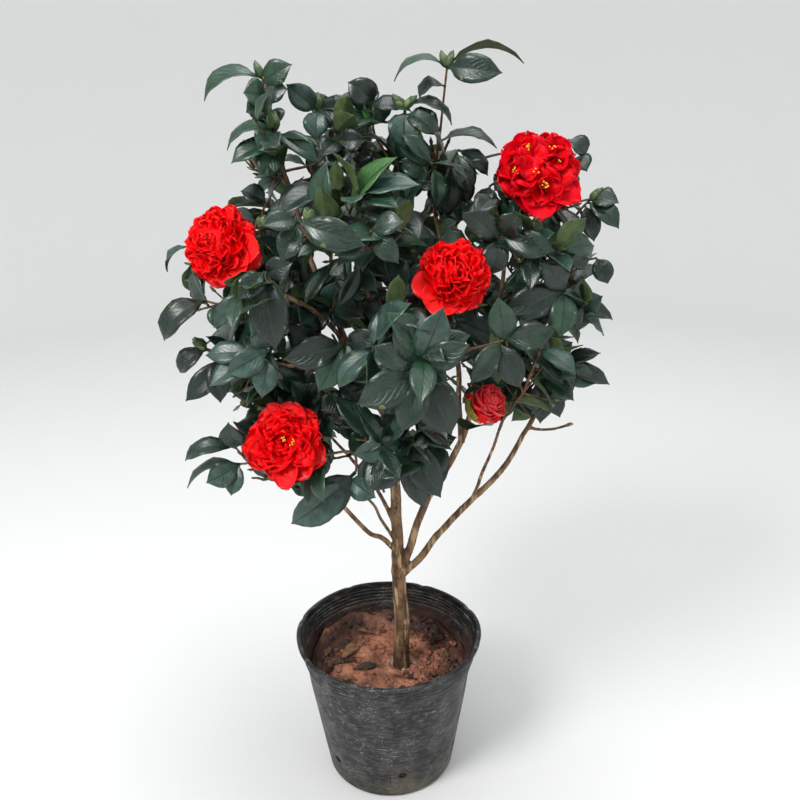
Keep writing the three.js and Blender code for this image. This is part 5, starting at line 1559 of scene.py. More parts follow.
def limb_wood(limbs):
    """All limbs as one rough body, before its surface is made."""
    wood = Piece()
    for limb in limbs.values():
        line = finer_line(limb["points"], BARK["step"])
        radius = radii_along(limb["radii"], len(line))
        ends = directions(line)
        free = np.minimum(np.arange(len(line)), np.arange(len(line))[::-1])[:, None] / BENDS["free"]
        aside = np.stack([noise_at(line, BENDS["size"], 21), noise_at(line, BENDS["size"], 22)], -1)
        line[:, :2] = line[:, :2] + BENDS["most"] * aside * np.clip(free, 0, 1)
        if limb is limbs["bare_side_twig"]:
            line[:, 2] = line[:, 2] - SIDE_TWIG_SAG * np.sin(np.linspace(0, math.pi, len(line)) ** 1.1)
        if "on" in limb:
            line = np.vstack([line[0] - ends[0] * limb["root"], line])
            radius = np.concatenate([radius[:1], radius])
            radius[:len(FORK_SWELL)] = radius[:len(FORK_SWELL)] * np.array(FORK_SWELL)
        line = np.vstack([line, line[-1] + ends[-1] * BARK["into_mass"]])
        radius = np.concatenate([radius, radius[-1:] * BARK["end"]])
        lumps = 1 + BARK["lump"] * noise_at(line, BARK["lump_size"], 3)[:, None]
        tube(wood, line, radius, BARK["sides"], 0, lumps)
    return wood


def applied(thing, kind, **settings):
    """Adds a modifier and makes its result the object's own mesh."""
    modifier = thing.modifiers.new("work", kind)
    for name, value in settings.items():
        setattr(modifier, name, value)
    graph = bpy.context.evaluated_depsgraph_get()
    mesh = bpy.data.meshes.new_from_object(thing.evaluated_get(graph))
    thing.modifiers.clear()
    old = thing.data
    thing.data = mesh
    bpy.data.meshes.remove(old)


def read_rows(rows, what):
    """Three numbers of each row of a mesh's data."""
    values = np.zeros(len(rows) * 3, np.float32)
    rows.foreach_get(what, values)
    return values.reshape(-1, 3).astype(float)


def make_limbs(limbs, paints):
    thing = limb_wood(limbs).build("bark", [paints["bark"]])
    applied(thing, "REMESH", mode="VOXEL", voxel_size=BARK["voxel"] * MM, use_smooth_shade=True)
    applied(thing, "SMOOTH", factor=0.5, iterations=BARK["smooth"])
    mesh = thing.data
    places = read_rows(mesh.vertices, "co") / MM
    grain = noise_at(places * np.array(BARK["stretch"]), BARK["grain_size"], 5)
    rise = BARK["grain"] * (grain + BARK["pores"] * noise_at(places, BARK["pore_size"], 9))
    for x, y, z, size, height in KNOTS:
        away = np.linalg.norm(places - np.array([x, y, z]), axis=1) / size
        rise = rise + height * np.exp(-away ** 2) * (1 - 0.5 * np.exp(-(away * 2.4) ** 2))
    thin = np.clip((places[:, 2] - FINER_BARK["from"]) / FINER_BARK["over"], 0, FINER_BARK["most"])
    places = places + read_rows(mesh.vertex_normals, "vector") * (rise * (1 - thin))[:, None]
    places[:, 2] = np.maximum(places[:, 2], TRUNK_FOOT[2])
    mesh.vertices.foreach_set("co", (places * MM).astype(np.float32).ravel())
    mesh.update()
    mesh.materials.clear()
    mesh.materials.append(paints["bark"])
    replace(thing, list(limbs))


# Pot
POT_TURNS = 192
BAND = {"bottom": 141, "faded": 0.75, "bulge": 0.9, "pitch": 4.1, "height": 0.55, "fine_from": 104,
        "fine_pitch": 1.9, "fine": 0.12, "rise": 3, "fine_rise": 12, "faded_over": 0.8}
# Radius at which a dent's turn is measured along the wall
DENT_RADIUS = 85
DENTS = [[-70, 128, 16, 9, -1.6], [-118, 92, 22, 14, -1.3], [-48, 60, 20, 16, -1.2],
         [-20, 118, 18, 10, -1.4], [-95, 40, 26, 10, -0.9], [60, 100, 24, 18, -1.5],
         [150, 80, 24, 16, -1.3], [12, 150, 11, 9, 1.1], [200, 130, 20, 12, -1.2], [-35, 95, 9, 22, 0.8],
         [-140, 140, 16, 7, 1.0]]
OUT_OF_ROUND = 1.1
DRILL = {"reach": 5, "sides": 20}
NICKED = {"from": 5, "over": 4, "inward": 0.6}
# Nicks in the rim: degrees, half width in degrees, depth
NICKS = [[-152, 2.2, 1.6], [-139, 1.4, 1.2], [-121, 3.0, 1.0], [-104, 1.6, 1.3], [-76, 2.4, 0.9],
         [-47, 1.5, 1.4], [-33, 2.6, 1.5], [-12, 1.8, 1.2], [24, 2.2, 1.0], [66, 2.6, 1.1],
         [118, 1.8, 0.9], [165, 2.4, 1.2]]
HOLE_PLACE = tuple(MM * value for value in (
    POT["base_radius"] * math.cos(math.radians(DRAIN_HOLE["first"])),
    POT["base_radius"] * math.sin(math.radians(DRAIN_HOLE["first"])), DRAIN_HOLE["height"]))


def wall_radius(height):
    wall_top = POT["rim_radius"] - POT["lip_width"]
    return POT["base_radius"] + (wall_top - POT["base_radius"]) * height / POT["height"]


def from_angle(turn, angle):
    """How far a turn is from an angle, the shorter way round."""
    return np.angle(np.exp(1j * (turn - angle)))


def wall_shift(turn, height):
    """How far the thin wall stands out of round: dents, a soft oval at the rim, and the ridged band."""
    rim = np.clip((height - SOIL["level"] - 4) / (POT["height"] - SOIL["level"]), 0, 1)
    oval = np.cos(2 * turn + 0.6) + 0.5 * np.sin(3 * turn + 1) + 0.35 * np.sin(7 * turn)
    shift = OUT_OF_ROUND * rim * oval
    for degrees, level, wide, tall, depth in DENTS:
        off = from_angle(turn, math.radians(degrees)) * DENT_RADIUS
        shift = shift + depth * np.exp(-(off / wide) ** 2 - ((height - level) / tall) ** 2)
    band = np.clip((height - BAND["bottom"]) / BAND["rise"], 0, 1)
    # The ridges fade at the front, where the thin wall has been pressed smooth
    front = 1 - BAND["faded"] * np.exp(-(from_angle(turn, -math.pi / 2) / BAND["faded_over"]) ** 2)
    ridges = np.sin(2 * math.pi * height / BAND["pitch"])
    shift = shift + band * (BAND["bulge"] + BAND["height"] * ridges) * front
    fine = np.clip((height - BAND["fine_from"]) / BAND["fine_rise"], 0, 1)
    rings = np.sin(2 * math.pi * height / BAND["fine_pitch"] + 0.4 * np.sin(turn * 5))
    return shift + fine * BAND["fine"] * rings


def make_pot(paints):
    """A thin moulded wall, turned from its profile, with its rolled rim and drain holes."""
    top, corner = POT["height"], POT["corner_radius"]
    corner_x = wall_radius(corner) - corner
    profile = [(radius, 0.0, 0) for radius in np.linspace(0.5, corner_x, 8)]
    for angle in np.linspace(0, math.pi / 2, 7)[1:]:
        profile.append((corner_x + corner * math.sin(angle), corner * (1 - math.cos(angle)), 0))
    heights = np.concatenate([np.linspace(corner + 3, 100, 16),
                              np.linspace(101.5, top - POT["lip_depth"], 76)])
    profile += [(wall_radius(height), height, 1) for height in heights]
    lip, wall_top = POT["rim_radius"], wall_radius(top)
    roll = [(wall_top + 1.2, top - 4.2), (lip - 0.7, top - 3.9), (lip, top - 3), (lip, top - 1.2),
            (lip - 0.7, top - 0.3), (lip - 2, top), (wall_top + 0.2, top), (wall_top - 0.7, top - 0.3),
            (wall_top - 1.4, top - 1.2)]
    profile += [(radius, height, 1) for radius, height in roll]
    inner = [(wall_radius(height) - POT["wall"], height, 1) for height in heights[::-1][1:]]
    outer_rings = len(profile)
    profile += inner + [(corner_x + 2, corner - 1.5, 0), (corner_x, POT["wall"], 0)]
    profile += [(radius, POT["wall"], 0) for radius in np.linspace(corner_x, 0.5, 6)[1:]]
    radius, height, moved = (np.array(column, float)[:, None] for column in zip(*profile))
    turn = np.arange(POT_TURNS)[None] * 2 * math.pi / POT_TURNS
    whole = radius + moved * wall_shift(turn, height)
    near_rim = np.clip((height - (top - NICKED["from"])) / NICKED["over"], 0, 1)
    nick = sum(depth * np.exp(-(from_angle(turn, math.radians(at)) / math.radians(wide)) ** 2)
               for at, wide, depth in NICKS)
    whole = whole - near_rim * nick * NICKED["inward"]
    height = height - near_rim * nick
    places = np.stack([whole * np.cos(turn), whole * np.sin(turn), np.broadcast_to(height, whole.shape)], -1)
    rings = len(profile)
    ends = [[0, 0, 0], [0, 0, POT["wall"]]]
    inside = np.arange(rings - 1).repeat(POT_TURNS) >= outer_rings - 1
    slots = np.concatenate([inside, np.zeros(POT_TURNS), np.ones(POT_TURNS)])
    piece = Piece()
    piece.add(np.vstack([places.reshape(-1, 3), ends]), closed_quads(rings, POT_TURNS), slots)
    pot = piece.build("pot_shell", [paints["plastic"], paints["plastic_inside"]])
    drills = Piece()
    for k in range(DRAIN_HOLE["count"]):
        angle = math.radians(DRAIN_HOLE["first"]) + 2 * math.pi * k / DRAIN_HOLE["count"]
        out = np.array([math.cos(angle), math.sin(angle), 0])
        middle = out * wall_radius(DRAIN_HOLE["height"]) + UP * DRAIN_HOLE["height"]
        line = np.array([middle - out * DRILL["reach"], middle, middle + out * DRILL["reach"]])
        tube(drills, line, [DRAIN_HOLE["radius"]] * len(line), DRILL["sides"], 0)
    drill = drills.build("drill", [])
    applied(pot, "BOOLEAN", object=drill, operation="DIFFERENCE", solver="MANIFOLD")
    bpy.data.objects.remove(drill)
    replace(pot, ["pot"])


# Soil
CRUMBLE = 0.7
BANK = {"from": 0.74, "turn": 2.0, "spread": 1.3, "height": 17}
SOIL_RINGS, SOIL_TURNS = 88, 210
SOIL_SIDE = [20, 40, 60, 80, 100]
EDGE_DIP = {"from": 0.93, "depth": 2.2}
# Clods lie mostly on the dug right side, small near the trunk, and clear of the wall
CLODS = {"count": 640, "size": [1.0, 4.0], "right": 0.72, "dug_from": 24, "dug_to": 80, "folded": 0.6,
         "near_trunk": 22, "small": 2, "edge": 1.5, "raised": 0.25, "spread": 0.96}
CLOD = {"rows": 5, "sides": 8, "pole": 0.12, "seeds": 40, "rough": 0.9, "rough_size": 0.7, "tall": 0.75}
LITTER = [[-66, -6, 30, 30], [-52, 6, 62, 31], [-40, -14, 20, 25], [-62, 24, 46, 28], [-60, -34, 8, 27],
          [-70, -20, 70, 18], [-26, -54, 170, 22], [-8, -62, 20, 20], [14, -66, 150, 16],
          [52, 14, 100, 15], [-60, -22, 25, 20], [-52, -38, 100, 17], [-30, -62, 10, 24],
          [-14, -70, 60, 18], [30, -30, 140, 18], [-44, 26, 70, 16], [58, -36, 60, 15], [46, 36, 20, 19],
          [-20, 54, 160, 20], [-72, 10, 85, 18], [8, -48, 30, 13], [-36, -30, 150, 15], [66, 8, 120, 14]]
LITTER_LIFT = 2.2
DEAD_LEAF = {"from_wall": 3, "half_width": 0.24, "brown": 0.75}
STRAW = {"count": 11, "from_wall": 16, "half": [5, 8], "radius": 0.45, "sides": 5, "steps": 7}


def soil_height(x, y):
    away = np.hypot(x - TRUNK_FOOT[0], y - TRUNK_FOOT[1]) - SOIL["flat_radius"]
    share = np.clip(away / SOIL["slope"], 0, 1)
    waves = np.sin(x * 0.11 + 1.3) * np.cos(y * 0.09 - 0.4) + 0.6 * np.sin((x + 2 * y) * 0.07)
    return SOIL["level"] + SOIL["relief"] * share * waves


def rough_soil(places):
    """Lumps of wet clay: broad swells, clods with sharp edges, and grit."""
    broad = noise_at(places, 16, 2)
    clods = np.abs(noise_at(places, 7.5, 4))
    grit = noise_at(places, 2.4, 6) + 0.8 * noise_at(places, 4.4, 11)
    away = np.hypot(places[:, 0] - TRUNK_FOOT[0], places[:, 1] - TRUNK_FOOT[1])
    near = np.clip((away - 12) / 30, 0.25, 1)
    collar = 1.6 * np.exp(-((away - 15) / 2.6) ** 2) - 1.2 * np.exp(-((away - 10) / 4) ** 2)
    # Dug and crumbly at the right, flat and wet in the middle
    dug = 1 + CRUMBLE * np.clip((places[:, 0] - 22) / 20, 0, 1)
    return near * (1.6 * broad - 3.4 * dug * clods + dug) + 0.7 * dug * near * grit + collar


def bank(x, y, edge):
    """Soil washed up against the back and left wall."""
    turn = np.arctan2(y, x)
    reach = np.clip((np.hypot(x, y) / edge - BANK["from"]) / (1 - BANK["from"]), 0, 1)
    side = np.exp(-(from_angle(turn, BANK["turn"]) / BANK["spread"]) ** 2)
    return BANK["height"] * side * reach * reach * (3 - 2 * reach)


def soil_top(x, y, edge):
    return float(soil_height(x, y)) + float(bank(x, y, edge))


def make_soil(paints):
    edge = wall_radius(SOIL["level"]) - POT["wall"] - SOIL["gap"]
    turn = np.arange(SOIL_TURNS)[None] * 2 * math.pi / SOIL_TURNS
    share = np.linspace(1, 0.004, SOIL_RINGS)[:, None]
    x, y = edge * share * np.cos(turn), edge * share * np.sin(turn)
    z = soil_height(x, y)
    flat = np.stack([x, y, np.full_like(x, SOIL["level"])], -1).reshape(-1, 3)
    z = z + rough_soil(flat).reshape(z.shape) + bank(x, y, edge)
    z = z - EDGE_DIP["depth"] * np.clip((share - EDGE_DIP["from"]) / 0.07, 0, 1)
    top = np.stack([x, y, z], -1)
    floor = POT["wall"] + SOIL["gap"]
    sides = []
    for height in [floor, POT["corner_radius"] + SOIL["gap"]] + SOIL_SIDE:
        radius = wall_radius(max(height, POT["corner_radius"])) - POT["wall"] - SOIL["gap"]
        radius = radius - (POT["corner_radius"] if height == floor else 0)
        level = np.full(SOIL_TURNS, height)
        sides.append(np.stack([radius * np.cos(turn[0]), radius * np.sin(turn[0]), level], -1))
    rings = np.concatenate([np.array(sides), top])
    middle = [[0, 0, floor], [0, 0, float(z[-1].mean())]]
    hidden = np.arange(len(rings) - 1).repeat(SOIL_TURNS) < len(sides)
    slots = np.concatenate([hidden, np.ones(SOIL_TURNS), np.zeros(SOIL_TURNS)])
    piece = Piece()
    piece.add(np.vstack([rings.reshape(-1, 3), middle]), closed_quads(len(rings), SOIL_TURNS), slots)
    draw = seeded(SEEDS["soil"])
    for _ in range(CLODS["count"]):
        far, angle = edge * CLODS["spread"] * draw() ** 0.5, draw() * TURN
        spot = np.array([far * math.cos(angle), far * math.sin(angle)])
        if spot[0] < CLODS["dug_from"] and draw() < CLODS["right"]:
            spot[0] = CLODS["dug_to"] - CLODS["folded"] * abs(spot[0] - CLODS["dug_from"])
        size = between(CLODS["size"], draw() ** 2)
        if np.hypot(*(spot - np.array(TRUNK_FOOT[:2]))) < CLODS["near_trunk"]:
            size = min(size, CLODS["small"])
        if np.hypot(*spot) + size > edge - CLODS["edge"]:
            spot = spot * (edge - CLODS["edge"] - size) / np.hypot(*spot)
        clod(piece, np.array([*spot, soil_top(*spot, edge) + size * CLODS["raised"]]), size, draw)
    soil = piece.build("soil_surface", [paints["soil"], paints["soil_under"]])
    replace(soil, ["soil"])
    make_litter(edge, paints, draw)


def clod(piece, centre, size, draw):
    """A lump of soil, made of rings and pushed about by noise."""
    rows, sides, pole = CLOD["rows"], CLOD["sides"], CLOD["pole"]
    tilt = np.linspace(pole, math.pi - pole, rows)[:, None]
    turn = np.arange(sides)[None] * 2 * math.pi / sides
    across, along = np.sin(tilt) * np.cos(turn), np.sin(tilt) * np.sin(turn)
    ball = np.stack(np.broadcast_arrays(across, along, -np.cos(tilt)), -1).reshape(-1, 3)
    rough = noise_at(ball, CLOD["rough_size"], draw() * CLOD["seeds"])
    ball = ball * (1 + CLOD["rough"] * rough)[:, None] * np.array([1, 0.7 + 0.5 * draw(), CLOD["tall"]])
    points = centre + ball * size
    ends = [points[:sides].mean(axis=0), points[-sides:].mean(axis=0)]
    piece.add(np.vstack([points, ends]), closed_quads(rows, sides), 0)


def make_litter(edge, paints, draw):
    """Dead leaves and straws that lie on the soil."""
    piece = Piece()
    for x, y, degrees, size in LITTER:
        spin = math.radians(degrees)
        way = np.array([math.cos(spin), math.sin(spin), 0.12 * (draw() - 0.5)])
        way = unit(way)
        face = square_to(way, UP + 0.5 * np.array([draw() - 0.5, draw() - 0.5, 0]))
        reach = np.array([x, y]) + way[:2] * size
        if np.hypot(*reach) > edge - DEAD_LEAF["from_wall"]:
            way = way * np.array([-1, -1, 1])
            face = square_to(way, face)
        foot = np.array([x, y, soil_top(x, y, edge) + LITTER_LIFT])
        shape = {"inward": -0.12, "tip_inward": 0.4 * (draw() - 0.5), "ruffle": 1.3, "waves": 1.3,
                 "hollow": 0.35}
        slot = 0 if draw() < DEAD_LEAF["brown"] else 1
        petal(piece, foot, way, face, (size, size * DEAD_LEAF["half_width"]), shape, slot, draw)
    for _ in range(STRAW["count"]):
        far, angle, spin = (edge - STRAW["from_wall"]) * draw() ** 0.5, draw() * TURN, draw() * TURN
        spot = np.array([far * math.cos(angle), far * math.sin(angle)])
        half = drawn(STRAW["half"], draw) * np.array([math.cos(spin), math.sin(spin)])
        line = []
        for side in (-1, -0.3, 0.4, 1):
            place = spot + half * side
            line.append([*place, soil_top(*place, edge) + LITTER_LIFT + draw()])
        line = smooth_line(line, STRAW["steps"])
        tube(piece, line, [STRAW["radius"]] * len(line), STRAW["sides"], 1)
    replace(piece.build("litter", [paints["dead_leaf"], paints["straw"]]), [])


# Materials
class Paint:
    """A material and short ways to add nodes to it."""

    def __init__(self, name):
        self.material = bpy.data.materials.new(name)
        self.material.use_nodes = True
        self.nodes, self.links = self.material.node_tree.nodes, self.material.node_tree.links
        self.shader = self.nodes["Principled BSDF"]

    def set(self, **values):
        for name, value in values.items():
            socket = self.shader.inputs[name.replace("_", " ")]
            self.put(socket, value)
        return self

    def put(self, socket, value):
        if isinstance(value, bpy.types.NodeSocket):
            self.links.new(value, socket)
        elif isinstance(value, (tuple, list)) and len(value) == 3 and socket.type == "RGBA":
            socket.default_value = (*value, 1)
        else:
            socket.default_value = value

    def node(self, kind, inputs=(), output=0, **settings):
        made = self.nodes.new("ShaderNode" + kind)
        for name, value in settings.items():
            setattr(made, name, value)
        for key, value in dict(inputs).items():
            self.put(made.inputs[key], value)
        return made.outputs[output]

    def place(self):
        return self.node("TexCoord", output="Object")

    def marks(self):
        return self.node("TexCoord", output="UV")

    def noise(self, scale, detail=3, where=None, rough=0.55):
        return self.node("TexNoise", {"Vector": where or self.place(), "Scale": scale, "Detail": detail,
                                      "Roughness": rough})

    def stretched(self, scales):
        return self.node("Mapping", {"Vector": self.place(), "Scale": scales})

    def axes(self, vector):
        """A vector's three numbers."""
        parts = self.nodes.new("ShaderNodeSeparateXYZ")
        self.links.new(vector, parts.inputs[0])
        return parts.outputs

    def sums(self, operation, a, b=0.0, clamp=False):
        return self.node("Math", {0: a, 1: b}, operation=operation, use_clamp=clamp)

    def times(self, a, b, clamp=False):
        return self.sums("MULTIPLY", a, b, clamp)

    def plus(self, a, b, clamp=False):
        return self.sums("ADD", a, b, clamp)

    def less(self, a, b):
        return self.sums("SUBTRACT", a, b)

    def patches(self, scale, detail, low, high, to_low=0.0, to_high=1.0):
        """Noise as patches: one value below "low", the other above "high"."""
        return self.remap(self.noise(scale, detail), low, high, to_low, to_high)

    def streaks(self, scale, detail, stretch, low, high):
        """Patches drawn out along the axes by which their coordinates are made smaller."""
        return self.remap(self.noise(scale, detail, self.stretched(stretch)), low, high)

    def spots(self, scale, where=None):
        """Distance from scattered points."""
        return self.node("TexVoronoi", {"Vector": where or self.place(), "Scale": scale}, feature="F1")

    def distance(self, place):
        """Distance from a place, in metres."""
        return self.node("VectorMath", {0: self.place(), 1: place}, operation="DISTANCE", output=1)

    def remap(self, value, low, high, to_low=0.0, to_high=1.0):
        return self.node("MapRange", {"Value": value, "From Min": low, "From Max": high, "To Min": to_low,
                                      "To Max": to_high})

    def mix(self, share, a, b):
        return self.node("Mix", {0: share, 6: a, 7: b}, output=2, data_type="RGBA")

    def stain(self, ground, mask, share, colour):
        """A colour over the ground, where the mask is 1, by its share."""
        return self.mix(self.times(mask, share), ground, linear(*colour))

    def bump(self, height, strength, distance):
        normal = self.node("Bump", {"Height": height, "Strength": strength, "Distance": distance * MM})
        return self.set(Normal=normal)


def linear(red, green, blue):
    """A colour given as it looks on a screen, from 0 to 255, as light."""
    shares = (red / 255, green / 255, blue / 255)
    return tuple(c / 12.92 if c <= 0.04045 else ((c + 0.055) / 1.055) ** 2.4 for c in shares)


# Side veins: how many along a leaf, and how far they slant towards its tip
VEINS = {"count": 8.0, "slant": 9.0}
# Turns of the sine wave that runs across a petal, in radians
PETAL_STREAKS = 60.0


def leaf_veins(paint):
    """1 on the side veins of a leaf, 0 between them, from its mark."""
    across, along, _ = paint.axes(paint.marks())
    aside = paint.sums("ABSOLUTE", paint.less(across, 0.5))
    run = paint.less(paint.times(along, VEINS["count"]),
                     paint.times(paint.sums("POWER", aside, 1.3), VEINS["slant"]))
    wave = paint.sums("SINE", paint.times(run, 2 * math.pi))
    return paint.remap(wave, 0.62, 1.0)


def leaf_top(name, deep, pale, roughness):
    paint = Paint(name)
    veins = leaf_veins(paint)
    share = paint.plus(paint.patches(120, 2, 0.35, 0.7, 0, 0.75), paint.times(veins, 0.22), True)
    paint.set(Base_Color=paint.mix(share, deep, pale))
    paint.set(Roughness=paint.patches(700, 2, 0.3, 0.7, roughness - 0.08, roughness + 0.06))
    paint.set(Specular_IOR_Level=0.5, Coat_Weight=0.2, Coat_Roughness=0.26)
    height = paint.less(paint.times(paint.noise(420, 2), 0.5), veins)
    # Beads of water stand on parts of the leaves
    beads = paint.spots(330)
    beads = paint.times(paint.remap(beads, 0.3, 0.1), paint.patches(26, 2, 0.55, 0.62))
    paint.bump(paint.plus(height, paint.times(beads, 2.6)), 0.35, 0.35)
    return paint.material


def leaf_back(name, deep, pale):
    paint = Paint(name)
    veins = leaf_veins(paint)
    share = paint.plus(paint.patches(150, 2, 0.35, 0.7, 0, 0.6), paint.times(veins, 0.4), True)
    paint.set(Base_Color=paint.mix(share, deep, pale), Roughness=0.55, Specular_IOR_Level=0.35)
    paint.bump(veins, 0.3, 0.3)
    return paint.material


def petal_paint(name, deep, body, edge):
    paint = Paint(name)
    across, along, _ = paint.axes(paint.marks())
    # Painted shade: the colour darkens towards the petal's foot, where the petals crowd together
    low = paint.mix(paint.remap(along, 0.05, 0.5), deep, body)
    streaks = paint.sums("SINE", paint.times(across, PETAL_STREAKS))
    # Painted highlight: the petal's end turns paler in patches
    tip = paint.times(paint.remap(along, 0.84, 1.0), paint.patches(160, 2, 0.35, 0.65))
    paint.set(Base_Color=paint.mix(tip, low, edge), Roughness=0.5, Specular_IOR_Level=0.1,
              Subsurface_Weight=0.15, Subsurface_Radius=(1.0, 0.1, 0.1), Subsurface_Scale=3 * MM)
    paint.bump(paint.plus(paint.times(streaks, 0.3), paint.noise(260, 2)), 0.3, 0.3)
    return paint.material


def plain_paint(name, deep, pale, scale, roughness, bump=0.3, depth=0.3):
    paint = Paint(name)
    shade = paint.mix(paint.patches(scale, 4, 0.35, 0.65), deep, pale)
    paint.set(Base_Color=shade, Roughness=roughness, Specular_IOR_Level=0.4)
    paint.bump(paint.noise(scale * 3, 3), bump, depth)
    return paint.material


# Where looks begin and end, in metres: heights first, then distances from the drain hole,
# from the pot's axis and from the trunk
GREY_BARK, WET_BARK, INNER_CLAY, MUD = (0.27, 0.5), (0.120, 0.172), (0.118, 0.152), (0.036, 0.0)
# The second pair darkens the soil towards the pot wall: painted shade over wetter clay
SPILL, SHADED_WET_EDGE = (0.026, 0.006), (0.048, 0.074)
COLLAR_INNER, COLLAR_OUTER = (0.0095, 0.0125), (0.0175, 0.014)


def bark_paint():
    """Smooth tan bark, greyer up the boughs, with dark scars and pale patches."""
    paint = Paint("bark")
    height = paint.axes(paint.place())[2]
    up = paint.remap(height, *GREY_BARK)
    tan = paint.mix(paint.patches(55, 3, 0.35, 0.65), linear(92, 67, 48), linear(158, 126, 92))
    grey = paint.mix(paint.patches(80, 3, 0.35, 0.65), linear(90, 70, 54), linear(144, 118, 92))
    wood = paint.mix(up, tan, grey)
    streaks = paint.streaks(190, 5, (1, 1, 0.14), 0.48, 0.58)
    wood = paint.stain(wood, streaks, 0.8, (74, 52, 36))
    bare = paint.streaks(150, 4, (1.3, 1.3, 0.2), 0.54, 0.62)
    wood = paint.stain(wood, bare, 0.75, (204, 174, 134))
    darkened = paint.remap(height, *WET_BARK, 1.0, 0.0)
    darkened = paint.times(darkened, paint.patches(70, 3, 0.25, 0.5), True)
    wood = paint.mix(darkened, wood, linear(58, 42, 33))
    scars = paint.spots(95, paint.stretched((1, 1, 0.8)))
    spot = paint.times(paint.remap(scars, 0.30, 0.12), paint.patches(38, 2, 0.5, 0.6))
    wood = paint.stain(wood, spot, 0.85, (66, 48, 34))
    paint.set(Base_Color=wood, Roughness=0.72, Specular_IOR_Level=0.3)
    cracks = paint.noise(190, 4, paint.stretched((1, 1, 0.35)))
    paint.bump(paint.less(cracks, paint.times(spot, 0.5)), 0.5, 0.6)
    return paint.material


def plastic_paint(name, inside):
    """Black plastic gone grey, with dried dust, pale scratches, a dirty foot, and clay inside."""
    paint = Paint(name)
    height = paint.axes(paint.place())[2]
    dust = paint.remap(paint.noise(40, 6, None, 0.75), 0.45, 0.66)
    grain = paint.streaks(240, 4, (0.45, 0.45, 1.7), 0.5, 0.66)
    dust = paint.plus(paint.times(dust, 0.42), paint.times(grain, 0.55), True)
    black = paint.mix(dust, linear(15, 16, 17), linear(92, 92, 90))
    scratches = paint.streaks(150, 2, (0.5, 0.5, 3.2), 0.63, 0.7)
    lines = paint.times(scratches, paint.patches(24, 2, 0.46, 0.58))
    scuffs = paint.times(paint.streaks(120, 2, (1.6, 1.6, 0.3), 0.68, 0.74), paint.patches(31, 2, 0.5, 0.6))
    specks = paint.spots(260)
    specks = paint.times(paint.remap(specks, 0.26, 0.14), paint.patches(40, 3, 0.5, 0.58))
    marks = paint.sums("MAXIMUM", paint.sums("MAXIMUM", lines, scuffs), specks)
    black = paint.stain(black, marks, 0.6, (158, 156, 150))
    if inside:
        clay = paint.times(paint.remap(height, *INNER_CLAY, 1.0, 0.0), paint.patches(34, 4, 0.3, 0.56))
        black = paint.stain(black, clay, 0.9, (104, 70, 54))
    else:
        mud = paint.times(paint.remap(height, *MUD), paint.patches(40, 3, 0.42, 0.58))
        black = paint.stain(black, mud, 0.65, (98, 90, 62))
        spill = paint.times(paint.remap(paint.distance(HOLE_PLACE), *SPILL), paint.patches(70, 3, 0.4, 0.6))
        black = paint.stain(black, spill, 0.8, (74, 60, 42))
    paint.set(Base_Color=black, Specular_IOR_Level=0.4)
    paint.set(Roughness=paint.patches(60, 3, 0.3, 0.7, 0.36, 0.6))
    rough = paint.plus(paint.times(marks, 0.5), paint.noise(90, 3))
    paint.bump(paint.plus(rough, paint.times(grain, 0.25)), 0.4, 0.5)
    return paint.material


def soil_paint():
    """Wet red-brown clay with pale crumbs and a pale collar round the trunk. Its dark patches are painted
    shade for the hollows, and it darkens towards the pot wall as painted shade over wetter clay.
    """
    paint = Paint("soil")
    broad = paint.patches(26, 5, 0.38, 0.62)
    clay = paint.mix(broad, linear(108, 64, 46), linear(180, 118, 90))
    # Painted shade: dark patches that stand for the hollows between crumbs
    dark = paint.remap(paint.noise(62, 7, None, 0.7), 0.5, 0.6)
    clay = paint.stain(clay, dark, 0.8, (46, 28, 22))
    crumbs = paint.patches(330, 2, 0.62, 0.72)
    clay = paint.stain(clay, crumbs, 0.55, (204, 156, 132))
    x, y, _ = paint.axes(paint.place())
    flat = paint.node("CombineXYZ", {0: x, 1: y})
    from_middle = paint.node("VectorMath", {0: flat}, operation="LENGTH", output=1)
    # Painted shade near the pot wall, over wetter clay: darker towards the rim
    darkened = paint.times(paint.remap(from_middle, *SHADED_WET_EDGE), paint.patches(36, 5, 0.26, 0.52), True)
    clay = paint.stain(clay, darkened, 0.93, (54, 33, 26))
    trunk = paint.distance(tuple(v * MM for v in TRUNK_FOOT))
    ring = paint.times(paint.remap(trunk, *COLLAR_INNER), paint.remap(trunk, *COLLAR_OUTER))
    ring = paint.times(ring, paint.patches(90, 3, 0.42, 0.56), True)
    clay = paint.stain(clay, ring, 0.85, (208, 168, 146))
    paint.set(Base_Color=clay, Specular_IOR_Level=0.5)
    paint.set(Roughness=paint.patches(34, 3, 0.35, 0.65, 0.36, 0.85))
    paint.bump(paint.plus(paint.noise(260, 5), paint.noise(90, 3)), 0.9, 1.6)
    return paint.material


